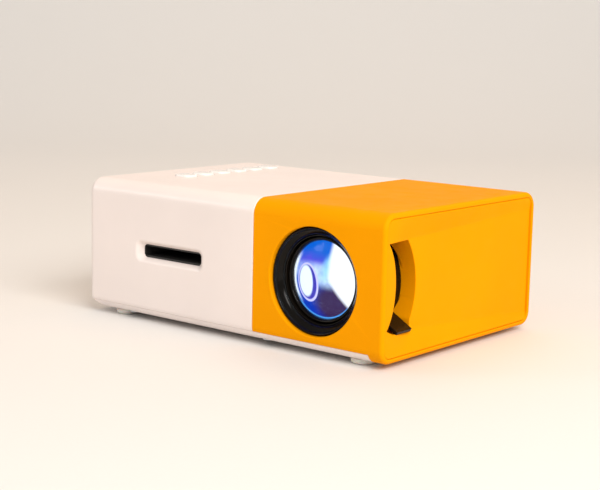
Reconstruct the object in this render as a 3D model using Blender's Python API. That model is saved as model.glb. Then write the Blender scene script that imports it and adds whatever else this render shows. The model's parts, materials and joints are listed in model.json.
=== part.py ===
"""Palm-size home projector, built as an assembly of separate named solids.

Frame: origin on the floor under the middle of the case, +X towards the end with the
focus slot, +Y from the lens face to the back, +Z up. Every dimension below is in
millimetres; MM turns it into metres when a mesh is made.
"""
import math

import bmesh
import bpy
from mathutils import Matrix, Vector

MM = 0.001
GAP = 0.3                       # clearance between neighbouring pieces
PAST = 1.0                      # how far a cutter runs past the face it opens

# --- case -------------------------------------------------------------------
HALF_X = 63.0
HALF_Y = 42.5
TOP_Z = 46.8
LOW_Z = 1.8                     # underside of the case, standing on its feet
WALL = 2.0
LONG_ROUND = 5.2                # rounding of the long upper edges
LEFT_ROUND = 2.6                # rounding of the end away from the lens
RIGHT_ROUND = 1.3               # rounding of the end with the focus slot
SPLIT_X = 12.5                  # joint between the white and the yellow cover
LOW_ROUND = 4.5                 # rounding of the long lower edges
SEAM_Z = 4.6                    # joint between the covers and the bottom cover
RIM_X = 57.6                    # the bottom cover ends here, under the right rim
CORNER_STEPS = 5
CAVITY_ROUND = 5.0              # long edges of the room inside the yellow cover
WALL_RIB = 2.4                  # thickness of the wall behind the side panel
SEAT_R = 3.2                    # corners of the side panel
WINDOW_INSET_Y = 1.7            # ledge that the side panel rests on
WINDOW_INSET_LOW = 2.9
WINDOW_INSET_TOP = 1.8

# --- side panel and focus slot ----------------------------------------------
PANEL_HALF_Y = 40.5
PANEL_LOW_Z = 3.5
PANEL_TOP_Z = 45.0
PANEL_BACK_X = 58.9
LAND_X = 62.4                   # flat in front of the slot
LAND_END_Y = -38.5
CREASE_LOW_Z = 10.3              # creases between band and facets, at the slot
CREASE_TOP_Z = 38.1
CREASE_REAR_DROP = 4.0          # the creases spread towards the rear
CREASE_REAR_RISE = 3.1
BAND_FRONT_X = 61.0             # band behind the slot, at its front end
BAND_REAR_X = 61.8
PANEL_EDGE_X = 62.5             # both facets rise to this level at the rim
SLOT_LOW_FRONT_Z = 8.9          # the slot's lower edge rises to the rear
SLOT_LOW_REAR_Z = 9.6
SLOT_TOP_Z = 37.8
SLOT_ARC_R = 25.0
SLOT_FRONT_Y = -35.0            # foremost point of the slot's front arc
SLOT_REAR_Y = -23.5
CHANNEL_INNER_X = 50.0
CHANNEL_FRONT_Y = -32.6
CHANNEL_WALL = 1.5

# --- lens -------------------------------------------------------------------
LENS_X = 36.2
LENS_Z = 23.5
LENS_HOLE_R = 16.9
LENS_HOLE_FLARE = 0.4
BEZEL_R = 16.6
BEZEL_BORE_R = 13.6
BARREL_R = 13.3
BARREL_BORE_R = 10.4
BARREL_REAR_Y = -16.0
GLASS_R = 12.0
RING_R = 18.8
RING_FRONT_Y = -34.9
RING_REAR_Y = -23.2
TAB_FRONT_Y = -34.5
TAB_REAR_Y = -27.5
TAB_TIP_R = 29.2
TAB_THICK = 1.6
TAB_REST_DEG = -26.0            # the tab rests at the slot's lower end
LATHE_STEPS = 40

# --- light engine -----------------------------------------------------------
BOX_HALF_X = 17.0
BOX_HALF_Z = 14.5
BOX_FRONT_Y = -8.0
BOX_REAR_Y = 15.0
BOX_WALL = 1.4
BOX_PORT_R = 12.0
SHEET_THICK = 1.2               # the Fresnel lens and the picture panel
FRESNEL_Y = -4.2
PICTURE_Y = -0.6
LED_HALF = 4.5
RIBBON_LOW_Z = 22.4
RIBBON_TOP_Z = 33.2
SINK_REAR_Y = 29.6
FIN_PITCH = 4.0
FIN_GAP = 2.6

# --- fan --------------------------------------------------------------------
FAN_SIDE = 34.0
FAN_FRONT_Y = 30.2
FAN_DEPTH = 10.0
FAN_BORE_R = 15.9
BLADE_TIP_R = 15.3
BLADE_COUNT = 7
BLADE_THICK = 0.9
BLADE_SWEEP = 0.26              # radians either side of the blade's middle
HUB_R = 8.5
VENT_ROWS = 7
VENT_PITCH = 4.4
VENT_HALF_X = 14.0
VENT_HALF_Z = 1.1
INTAKE_ROWS = 12
INTAKE_PITCH = 4.5
INTAKE_FIRST_Y = -30.0
INTAKE_HALF_X = 8.0
INTAKE_HALF_Y = 1.0

# --- boards, keys, sockets ---------------------------------------------------
BOARD_Z = 19.5
BOARD_THICK = 1.6
BOARD_TOP = BOARD_Z + BOARD_THICK
SOCKET_Z = BOARD_TOP + GAP
SOCKET_FRONT_Y = 30.0
SOCKET_MOUTH_Y = HALF_Y - 0.2
SOCKET_FLOOR_Y = SOCKET_FRONT_Y + 1.6
# name: (centre x, width, height), all on the main board's rear edge
SOCKET_SIZES = {
    "usb_socket": (-41.0, 14.2, 7.0),
    "hdmi_socket": (-25.4, 15.4, 6.2),
    "audio_socket": (-12.4, 7.4, 6.8),
    "av_socket": (-3.0, 7.4, 6.8),
    "dc_socket": (6.2, 7.8, 8.6),
}
KEY_X = -43.5
KEY_FIRST_Y = -14.6
KEY_PITCH = 8.75
KEY_COUNT = 6
KEY_SIZE_X = 7.4
KEY_SIZE_Y = 6.2
KEY_TOP_Z = 47.4
KEY_FLANGE_Z = 43.2             # each key's flange hangs under the cover
KEY_FLANGE_THICK = 1.0
CARD_X = -24.3
CARD_Z = 24.15
CARD_WIDTH = 25.8
CARD_HEIGHT = 4.0
CARD_FUNNEL = 2.15              # lead-in around the slot, at the front face
CARD_FUNNEL_DEPTH = 1.8
SPEAKER_Z = 25.0
SPEAKER_R = 14.0
GRILLE_SLOTS = ((-8.0, 6.0), (-4.0, 8.5), (0.0, 9.5), (4.0, 8.5), (8.0, 6.0))   # y, half height
GRILLE_HALF_Y = 0.9
IR_LOW = (-56.5, 33.5)          # infrared window, x and z
IR_HIGH = (-47.5, 38.5)

FOOT_R = 4.0
FOOT_X = 51.0
FOOT_Y = 35.0
SCREW_BOSS_R = 2.9
SCREW_HOLE_R = 1.3
UPPER_BOSS_TOP_Z = 18.5
UPPER_HOLE_TOP_Z = 13.0
RIGHT_BOSS_TOP_Z = 13.0
RIGHT_HOLE_TOP_Z = 11.0
SCREW_PLACES = ((-44.0, -37.8), (-44.0, 37.8), (15.8, -37.8), (15.8, 37.8))
POST_R = 2.4
POST_PLACES = ((-45.0, -20.0), (-45.0, 20.0), (6.0, -20.0), (6.0, 18.0))

# name: (colour, roughness, metallic)
FINISHES = {
    "white_plastic": ((0.90, 0.79, 0.74), 0.42, 0.0),
    "yellow_plastic": ((0.98, 0.37, 0.006), 0.45, 0.0),
    "black_plastic": ((0.012, 0.010, 0.010), 0.22, 0.0),
    "dark_plastic": ((0.03, 0.03, 0.032), 0.5, 0.0),
    "rubber": ((0.72, 0.62, 0.52), 0.6, 0.0),
    "glass": ((0.55, 0.68, 0.95), 0.05, 0.0),
    "aluminium": ((0.78, 0.79, 0.8), 0.35, 1.0),
    "steel": ((0.55, 0.56, 0.58), 0.3, 1.0),
    "brass": ((0.78, 0.57, 0.25), 0.3, 1.0),
    "board_green": ((0.02, 0.16, 0.07), 0.45, 0.0),
    "film_orange": ((0.7, 0.28, 0.05), 0.4, 0.0),
    "lamp_yellow": ((0.95, 0.8, 0.2), 0.4, 0.0),
    "paper_grey": ((0.16, 0.16, 0.17), 0.8, 0.0),
}


# --- mesh helpers -------------------------------------------------------------
def clear_scene():
    for item in list(bpy.data.objects):
        bpy.data.objects.remove(item, do_unlink=True)


def finish_material(name):
    """One Principled material per finish, made when it is first needed."""
    found = bpy.data.materials.get(name)
    if found:
        return found
    colour, roughness, metallic = FINISHES[name]
    material = bpy.data.materials.new(name)
    material.use_nodes = True
    shader = material.node_tree.nodes["Principled BSDF"]
    shader.inputs["Base Color"].default_value = (*colour, 1.0)
    shader.inputs["Roughness"].default_value = roughness
    shader.inputs["Metallic"].default_value = metallic
    return material


def make_object(name, shape, finish=None, pivot=(0.0, 0.0, 0.0), smooth_deg=30.0):
    """Turn a bmesh in case millimetres into an object whose origin is at pivot."""
    bmesh.ops.recalc_face_normals(shape, faces=shape.faces)
    shift = Matrix.Translation(-Vector(pivot))
    bmesh.ops.transform(shape, matrix=Matrix.Scale(MM, 4) @ shift, verts=shape.verts)
    mesh = bpy.data.meshes.new(name)
    shape.to_mesh(mesh)
    shape.free()
    mesh.shade_smooth()
    mesh.set_sharp_from_angle(angle=math.radians(smooth_deg))
    item = bpy.data.objects.new(name, mesh)
    item.location = Vector(pivot) * MM
    bpy.context.scene.collection.objects.link(item)
    if finish:
        mesh.materials.append(finish_material(finish))
    else:
        item.hide_render = True
        item.display_type = "WIRE"
    return item


def combine(target, tool, operation):
    modifier = target.modifiers.new(tool.name, "BOOLEAN")
    modifier.operation = operation
    modifier.solver = "EXACT"
    modifier.object = tool


def cut(target, name, *shapes):
    """Cut each bmesh away from target."""
    for index, shape in enumerate(shapes):
        combine(target, make_object(f"{name}_{index}", shape), "DIFFERENCE")


def join(target, name, *shapes):
    """Weld each bmesh, which overlaps the target, to it."""
    for index, shape in enumerate(shapes):
        combine(target, make_object(f"{name}_{index}", shape), "UNION")


def loft(loops):
    """Closed solid through loops of points that have equal counts."""
    shape = bmesh.new()
    rings = [[shape.verts.new(point) for point in loop] for loop in loops]
    count = len(rings[0])
    for ring, following in zip(rings, rings[1:]):
        for i in range(count):
            j = (i + 1) % count
            shape.faces.new((ring[i], ring[j], following[j], following[i]))
    shape.faces.new(list(reversed(rings[0])))
    shape.faces.new(rings[-1])
    return shape


def to_axis(axis, along, u, v):
    """Place outline coordinates u, v at a height along the X, Y or Z axis."""
    return {"X": (along, u, v), "Y": (u, along, v), "Z": (u, v, along)}[axis]


def prism(axis, outline, low, high):
    """Extrude an outline of (u, v) points along an axis."""
    return loft([[to_axis(axis, along, u, v) for u, v in outline] for along in (low, high)])


def rounded_outline(u0, u1, v0, v1, radius, steps=4):
    """Rectangle with round corners; radius is one value or one per corner."""
    radii = radius if isinstance(radius, tuple) else (radius,) * 4
    corners = ((u1, v1, -1, -1), (u0, v1, 1, -1), (u0, v0, 1, 1), (u1, v0, -1, 1))
    points = []
    for index, ((u, v, du, dv), r) in enumerate(zip(corners, radii)):
        centre_u, centre_v = u + du * r, v + dv * r
        for step in range(steps + 1):
            angle = math.pi / 2 * (index + step / steps)
            points.append((centre_u + r * math.cos(angle), centre_v + r * math.sin(angle)))
    return points


def rounded_prism(axis, u0, u1, v0, v1, radius, low, high, steps=4):
    return prism(axis, rounded_outline(u0, u1, v0, v1, radius, steps), low, high)


def block(x0, x1, y0, y1, z0, z1):
    return prism("Z", [(x0, y0), (x1, y0), (x1, y1), (x0, y1)], z0, z1)


def circle_points(u, v, radius, steps):
    return [(u + radius * math.cos(2 * math.pi * i / steps),
             v + radius * math.sin(2 * math.pi * i / steps)) for i in range(steps)]


def rod(axis, u, v, radius, low, high, steps=20):
    return prism(axis, circle_points(u, v, radius, steps), low, high)


def turned(axis, u, v, profile, steps=LATHE_STEPS):
    """Turn a profile of (radius, along) points about an axis through u, v.

    A profile that starts or ends at radius 0 closes on the axis. Any other profile
    is a closed loop, which makes a ring.
    """
    solid = profile[0][0] == 0.0
    shape = bmesh.new()
    rings = []
    for radius, along in profile:
        if radius == 0.0:
            rings.append([shape.verts.new(to_axis(axis, along, u, v))])
        else:
            rings.append([shape.verts.new(to_axis(axis, along, *point))
                          for point in circle_points(u, v, radius, steps)])
    pairs = list(zip(rings, rings[1:]))
    if not solid:
        pairs.append((rings[-1], rings[0]))
    for first, second in pairs:
        for i in range(steps):
            j = (i + 1) % steps
            corners = [first[i % len(first)], first[j % len(first)],
                       second[j % len(second)], second[i % len(second)]]
            shape.faces.new(list(dict.fromkeys(corners)))
    return shape


def rows_about(middle, pitch, count):
    """Evenly spaced places, half of them on each side of middle."""
    return [middle + pitch * (i - (count - 1) / 2) for i in range(count)]


def arc_yz(centre_y, radius, z_low, z_high, steps=14):
    """Points (y, z) up a circle about (centre_y, LENS_Z), on its rear side."""
    low = math.asin((z_low - LENS_Z) / radius)
    high = math.asin((z_high - LENS_Z) / radius)
    points = []
    for i in range(steps + 1):
        angle = low + (high - low) * i / steps
        points.append((centre_y + radius * math.cos(angle), LENS_Z + radius * math.sin(angle)))
    return points


def tube(name, finish, route, radius):
    """Round lead along a smooth curve through the route's points."""
    nodes = [Vector(point) * MM for point in route]
    ends = [2 * nodes[0] - nodes[1]] + nodes + [2 * nodes[-1] - nodes[-2]]
    points = []
    for before, start, end, after in zip(ends, ends[1:], ends[2:], ends[3:]):
        for i in range(3):
            t = i / 3
            points.append(0.5 * (2 * start + (end - before) * t
                                 + (2 * before - 5 * start + 4 * end - after) * t * t
                                 + (3 * start - before - 3 * end + after) * t ** 3))
    points.append(nodes[-1])
    curve = bpy.data.curves.new(name, "CURVE")
    curve.dimensions = "3D"
    curve.bevel_depth = radius * MM
    curve.bevel_resolution = 2
    curve.use_fill_caps = True
    spline = curve.splines.new("POLY")
    spline.points.add(len(points) - 1)
    for point, place in zip(spline.points, points):
        point.co = (*place, 1.0)
    curve.materials.append(finish_material(finish))
    item = bpy.data.objects.new(name, curve)
    bpy.context.scene.collection.objects.link(item)
    return item


# --- case shells ----------------------------------------------------------------
def case_section(x, inset, low_z, low_round):
    """Outline of the case at x, drawn in on its sides and top by inset."""
    half_y = HALF_Y - inset
    top_round = max(LONG_ROUND - inset, 0.4)
    low = low_z + (inset if low_z == LOW_Z else 0.0)
    radii = (top_round, top_round, low_round, low_round)
    outline = rounded_outline(-half_y, half_y, low, TOP_Z - inset, radii, CORNER_STEPS)
    return [(x, y, z) for y, z in outline]


def end_sections(end_x, direction, radius, low_z, low_round, skin=0.0):
    """Sections of a rounded case end, from its flat face inwards."""
    loops = []
    for step in range(CORNER_STEPS + 1):
        angle = math.pi / 2 * step / CORNER_STEPS
        x = end_x - direction * (skin + radius * (1 - math.cos(angle)))
        inset = radius * (1 - math.sin(angle))
        loops.append(case_section(x, skin + inset, low_z, max(low_round - inset, 0.4)))
    return loops


def build_upper_cover():
    loops = end_sections(-HALF_X, -1, LEFT_ROUND, LOW_Z, LOW_ROUND)
    loops.append(case_section(SPLIT_X - GAP / 2, 0.0, LOW_Z, LOW_ROUND))
    cover = make_object("upper_cover", loft(loops), "white_plastic")
    room = end_sections(-HALF_X, -1, LEFT_ROUND - WALL, LOW_Z - 10.0, 0.4, WALL)
    room.append(case_section(SPLIT_X + 5.0, WALL, LOW_Z - 10.0, 0.4))
    cut(cover, "upper_cover_cavity", loft(room))
    cut(cover, "tray_space",
        block(-HALF_X - PAST, SPLIT_X + PAST, -HALF_Y - PAST, HALF_Y + PAST, LOW_Z - PAST, SEAM_Z))
    funnel = []
    for y, grow in ((-HALF_Y - PAST, CARD_FUNNEL), (-HALF_Y, CARD_FUNNEL), (-HALF_Y + CARD_FUNNEL_DEPTH, 0.0),
                    (-HALF_Y + WALL + PAST, 0.0)):
        outline = rounded_outline(CARD_X - CARD_WIDTH / 2 - grow, CARD_X + CARD_WIDTH / 2 + grow,
                                  CARD_Z - CARD_HEIGHT / 2 - grow * 0.7,
                                  CARD_Z + CARD_HEIGHT / 2 + grow * 0.7, 1.5 + grow * 0.4, 3)
        funnel.append([(x, y, z) for x, z in outline])
    cut(cover, "card_slot", loft(funnel))
    key_holes = []
    for y in key_rows():
        half_x, half_y = KEY_SIZE_X / 2 + GAP, KEY_SIZE_Y / 2 + GAP
        key_holes.append(rounded_prism("Z", KEY_X - half_x, KEY_X + half_x, y - half_y, y + half_y,
                                       2.4, TOP_Z - WALL - PAST, TOP_Z + PAST, 3))
    cut(cover, "key_hole", *key_holes)
    socket_holes = [rounded_prism("Y", x - w / 2 - GAP, x + w / 2 + GAP,
                                  SOCKET_Z - GAP, SOCKET_Z + h + GAP, 0.8,
                                  HALF_Y - WALL - PAST, HALF_Y + PAST, 2)
                    for x, w, h in SOCKET_SIZES.values()]
    cut(cover, "socket_hole", *socket_holes)
    cut(cover, "window_hole",
        rounded_prism("Y", IR_LOW[0] - GAP, IR_HIGH[0] + GAP, IR_LOW[1] - GAP, IR_HIGH[1] + GAP,
                      1.5, HALF_Y - WALL - PAST, HALF_Y + PAST, 3))
    grille = [rounded_prism("X", y - GRILLE_HALF_Y, y + GRILLE_HALF_Y, SPEAKER_Z - reach,
                            SPEAKER_Z + reach, 0.8, -HALF_X - PAST, -HALF_X + WALL + PAST, 1)
              for y, reach in GRILLE_SLOTS]
    cut(cover, "speaker_grille", *grille)
    places = [place for place in SCREW_PLACES if place[0] < SPLIT_X]
    join(cover, "upper_boss",
         *[rod("Z", x, y, SCREW_BOSS_R, SEAM_Z + GAP, UPPER_BOSS_TOP_Z, 14) for x, y in places],
         *[rod("Z", KEY_X + 7.0, y, 1.8, 42.3, TOP_Z - 1.4, 12) for y in (-10.0, 24.0)])
    cut(cover, "upper_screw_hole",
        *[rod("Z", x, y, SCREW_HOLE_R, SEAM_Z - PAST, UPPER_HOLE_TOP_Z, 12) for x, y in places])


def build_right_cover():
    loops = end_sections(HALF_X, 1, RIGHT_ROUND, LOW_Z, LOW_ROUND)
    loops.append(case_section(SPLIT_X + GAP / 2, 0.0, LOW_Z, LOW_ROUND))
    cover = make_object("right_cover", loft(loops), "yellow_plastic")
    inner_x = PANEL_BACK_X - WALL_RIB
    cut(cover, "right_cover_cavity",
        rounded_prism("X", -HALF_Y + WALL, HALF_Y - WALL, -8.0, TOP_Z - WALL, CAVITY_ROUND,
                      SPLIT_X - 5.0, inner_x))
    cut(cover, "bottom_cover_space",
        block(SPLIT_X - PAST, RIM_X + GAP, -HALF_Y - PAST, HALF_Y + PAST, LOW_Z - PAST, SEAM_Z))
    cut(cover, "panel_recess",
        rounded_prism("X", -PANEL_HALF_Y - GAP, PANEL_HALF_Y + GAP, PANEL_LOW_Z - GAP,
                      PANEL_TOP_Z + GAP, SEAT_R + GAP, PANEL_BACK_X - GAP, HALF_X + PAST))
    cut(cover, "panel_window",
        rounded_prism("X", -PANEL_HALF_Y + WINDOW_INSET_Y, PANEL_HALF_Y - WINDOW_INSET_Y,
                      PANEL_LOW_Z + WINDOW_INSET_LOW, PANEL_TOP_Z - WINDOW_INSET_TOP, 2.0,
                      inner_x - PAST, PANEL_BACK_X + PAST, 3))
    cut(cover, "lens_hole",
        turned("Y", LENS_X, LENS_Z,
               [(0.0, -HALF_Y - PAST), (LENS_HOLE_R + 2 * LENS_HOLE_FLARE, -HALF_Y - PAST),
                (LENS_HOLE_R + LENS_HOLE_FLARE, -HALF_Y), (LENS_HOLE_R, -HALF_Y + 0.8),
                (LENS_HOLE_R, -HALF_Y + WALL + PAST), (0.0, -HALF_Y + WALL + PAST)]))
    vents = [rounded_prism("Y", LENS_X - VENT_HALF_X, LENS_X + VENT_HALF_X, z - VENT_HALF_Z,
                           z + VENT_HALF_Z, 1.0, HALF_Y - WALL - PAST, HALF_Y + PAST, 2)
             for z in rows_about(LENS_Z, VENT_PITCH, VENT_ROWS)]
    cut(cover, "fan_vent", *vents)
    places = [place for place in SCREW_PLACES if place[0] > SPLIT_X]
    join(cover, "right_boss",
         *[rod("Z", x, y, SCREW_BOSS_R, SEAM_Z + GAP, RIGHT_BOSS_TOP_Z, 14) for x, y in places])
    cut(cover, "right_screw_hole",
        *[rod("Z", x, y, SCREW_HOLE_R, SEAM_Z - PAST, RIGHT_HOLE_TOP_Z, 12) for x, y in places])


def panel_surface(y):
    """Height of the panel's band at y, and its lower and upper crease."""
    t = (y - SLOT_REAR_Y) / (PANEL_HALF_Y - SLOT_REAR_Y)
    if t < 0.0:
        fall = min(1.0, (y - LAND_END_Y) / (SLOT_REAR_Y - 4.0 - LAND_END_Y))
        return LAND_X + (BAND_FRONT_X - LAND_X) * fall, CREASE_LOW_Z, CREASE_TOP_Z
    band = BAND_FRONT_X + (BAND_REAR_X - BAND_FRONT_X) * t
    return band, CREASE_LOW_Z - CREASE_REAR_DROP * t, CREASE_TOP_Z + CREASE_REAR_RISE * t


def build_side_panel():
    """Faceted plate whose front is a band between two creases, with the slot's wall."""
    shape = bmesh.new()
    columns = []
    for y in (-PANEL_HALF_Y, LAND_END_Y, SLOT_REAR_Y - 4.0, SLOT_REAR_Y, PANEL_HALF_Y):
        band, low, high = panel_surface(max(y, LAND_END_Y))
        section = ((PANEL_EDGE_X, y, PANEL_LOW_Z), (band, y, low), (band, y, high),
                   (PANEL_EDGE_X, y, PANEL_TOP_Z), (PANEL_BACK_X, y, PANEL_TOP_Z),
                   (PANEL_BACK_X, y, PANEL_LOW_Z))
        columns.append([shape.verts.new(point) for point in section])
    for left, right in zip(columns, columns[1:]):
        for i in range(6):
            j = (i + 1) % 6
            shape.faces.new((left[i], right[i], right[j], left[j]))
    shape.faces.new(list(reversed(columns[0])))
    shape.faces.new(columns[-1])
    panel = make_object("side_panel", shape, "yellow_plastic")
    outline = rounded_prism("X", -PANEL_HALF_Y, PANEL_HALF_Y, PANEL_LOW_Z, PANEL_TOP_Z, SEAT_R,
                            PANEL_BACK_X - PAST, HALF_X + PAST)
    combine(panel, make_object("panel_outline", outline), "INTERSECT")

    rear_arc = arc_yz(SLOT_REAR_Y - SLOT_ARC_R, SLOT_ARC_R, SLOT_LOW_REAR_Z, SLOT_TOP_Z)
    outer_low, outer_top = SLOT_LOW_REAR_Z - CHANNEL_WALL, SLOT_TOP_Z + CHANNEL_WALL
    outer_arc = arc_yz(SLOT_REAR_Y - SLOT_ARC_R, SLOT_ARC_R + CHANNEL_WALL, outer_low, outer_top)
    channel = outer_arc + [(CHANNEL_FRONT_Y, outer_top), (CHANNEL_FRONT_Y, outer_low - 0.5)]
    join(panel, "focus_channel", prism("X", channel, CHANNEL_INNER_X, PANEL_BACK_X + 0.8))
    front_arc = arc_yz(SLOT_FRONT_Y - SLOT_ARC_R, SLOT_ARC_R, SLOT_LOW_FRONT_Z, SLOT_TOP_Z)
    slot = rear_arc + list(reversed(front_arc))
    cut(panel, "focus_slot", prism("X", slot, CHANNEL_INNER_X - PAST, HALF_X + PAST))
    cut(panel, "ring_relief",
        rod("Y", LENS_X, LENS_Z, RING_R + 0.4, -HALF_Y, RING_REAR_Y + 0.5, LATHE_STEPS),
        rod("Y", LENS_X, LENS_Z, BARREL_R + 2.0, -HALF_Y, 0.0, LATHE_STEPS))


def low_inset(z):
    """How far the rounded lower edge stands in from the side of the case at z."""
    drop = min(LOW_Z + LOW_ROUND - z, LOW_ROUND)
    return LOW_ROUND - math.sqrt(LOW_ROUND ** 2 - drop ** 2)


def build_bottom_cover():
    top = SEAM_Z - 0.25
    loops = []
    for z in (LOW_Z, LOW_Z + 0.15, LOW_Z + 0.5, LOW_Z + 1.2, top):
        inset = low_inset(z) + 0.1
        outline = rounded_outline(-HALF_X + inset, RIM_X - 0.1, -HALF_Y + inset, HALF_Y - inset,
                                  (0.6, LEFT_ROUND, LEFT_ROUND, 0.6))
        loops.append([(x, y, z) for x, y in outline])
    tray = make_object("bottom_cover", loft(loops), "white_plastic")
    posts = [rod("Z", x, y, POST_R, top - 0.6, BOARD_Z - GAP, 12) for x, y in POST_PLACES]
    rails = [block(x - 1.2, x + 1.2, -6.0, 28.0, top - 0.6, LENS_Z - BOX_HALF_Z - GAP)
             for x in (LENS_X - 12.0, LENS_X + 12.0)]
    boss = rod("Z", 0.0, 0.0, 6.6, top - 0.6, 9.4, 20)
    join(tray, "tray_post", *posts, *rails, boss)
    intake = [rounded_prism("Z", LENS_X - INTAKE_HALF_X, LENS_X + INTAKE_HALF_X, y - INTAKE_HALF_Y,
                            y + INTAKE_HALF_Y, 0.9, LOW_Z - PAST, top + PAST, 1)
              for y in (INTAKE_FIRST_Y + INTAKE_PITCH * row for row in range(INTAKE_ROWS))]
    cut(tray, "intake_slot", *intake)
    cut(tray, "insert_hole", rod("Z", 0.0, 0.0, 4.5, LOW_Z - PAST, 12.0, 20))
    seat = [(0.0, LOW_Z - PAST), (2.6, LOW_Z - PAST), (2.6, LOW_Z + 0.9), (1.5, LOW_Z + 0.9),
            (1.5, top + PAST), (0.0, top + PAST)]
    cut(tray, "screw_seat", *[turned("Z", x, y, seat, 14) for x, y in SCREW_PLACES])
    cut(tray, "post_hole", *[rod("Z", x, y, 1.1, 12.0, BOARD_Z + PAST, 10) for x, y in POST_PLACES])


def build_feet():
    profile = [(0.0, 0.0), (FOOT_R - 0.7, 0.0), (FOOT_R - 0.2, 0.4), (FOOT_R, 1.0),
               (FOOT_R, LOW_Z - GAP), (0.0, LOW_Z - GAP)]
    for end, x in (("left", -FOOT_X), ("right", FOOT_X)):
        for side, y in (("front", -FOOT_Y), ("rear", FOOT_Y)):
            make_object(f"foot_{side}_{end}", turned("Z", x, y, profile, 20), "rubber")


# --- lens ---------------------------------------------------------------------------
def build_lens():
    axis = (LENS_X, 0.0, LENS_Z)
    bezel = [(BEZEL_R, -40.9), (BEZEL_R - 0.35, -41.5), (BEZEL_R - 0.9, -41.6),
             (BEZEL_R - 1.4, -41.2), (BEZEL_BORE_R + 0.9, -39.4), (BEZEL_BORE_R + 0.6, -38.2),
             (BEZEL_BORE_R, -38.0), (BEZEL_BORE_R, RING_FRONT_Y - GAP), (BEZEL_R, RING_FRONT_Y - GAP)]
    make_object("lens_bezel", turned("Y", LENS_X, LENS_Z, bezel), "black_plastic")

    barrel = [(GLASS_R + 0.3, -36.6), (GLASS_R + 0.7, -37.4), (BARREL_R - 0.4, -37.6),
              (BARREL_R, -37.2), (BARREL_R, BARREL_REAR_Y), (BARREL_BORE_R, BARREL_REAR_Y),
              (BARREL_BORE_R, -31.4), (GLASS_R + 0.3, -31.4)]
    make_object("lens_barrel", turned("Y", LENS_X, LENS_Z, barrel), "dark_plastic", axis)
    front = [(0.0, -39.0), (3.0, -38.84), (6.0, -38.36), (9.0, -37.55), (11.0, -36.85),
             (GLASS_R, -36.4), (GLASS_R, -31.7), (0.0, -31.7)]
    make_object("front_lens", turned("Y", LENS_X, LENS_Z, front), "glass", axis)
    rear_r = BARREL_BORE_R - GAP
    rear = [(0.0, -22.0), (rear_r, -22.0), (rear_r, -19.0), (6.0, -17.6), (0.0, -17.0)]
    make_object("rear_lens", turned("Y", LENS_X, LENS_Z, rear), "glass", axis)

    bevel = 0.5
    ring_profile = [(BEZEL_BORE_R, RING_FRONT_Y), (RING_R - bevel, RING_FRONT_Y),
                    (RING_R, RING_FRONT_Y + bevel), (RING_R, RING_REAR_Y - bevel),
                    (RING_R - bevel, RING_REAR_Y), (BEZEL_BORE_R, RING_REAR_Y)]
    ring = make_object("focus_ring", turned("Y", LENS_X, LENS_Z, ring_profile), "black_plastic", axis)
    blade = rounded_prism("Z", RING_R - 1.6, TAB_TIP_R, TAB_FRONT_Y, TAB_REAR_Y,
                          (0.8, 0.01, 0.01, 0.8), -TAB_THICK / 2, TAB_THICK / 2, 3)
    swing = Matrix.Rotation(math.radians(-TAB_REST_DEG), 4, "Y")
    place = Matrix.Translation((LENS_X, 0.0, LENS_Z)) @ swing
    bmesh.ops.transform(blade, matrix=place, verts=blade.verts)
    join(ring, "focus_tab", blade)

    sleeve_r, flange_r = 14.9, 17.2
    housing = [(BEZEL_BORE_R, RING_REAR_Y + 1.0), (sleeve_r, RING_REAR_Y + 1.0), (sleeve_r, -10.2),
               (flange_r, -10.2), (flange_r, BOX_FRONT_Y - GAP), (BEZEL_BORE_R, BOX_FRONT_Y - GAP)]
    make_object("lens_housing", turned("Y", LENS_X, LENS_Z, housing), "dark_plastic")


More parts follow.
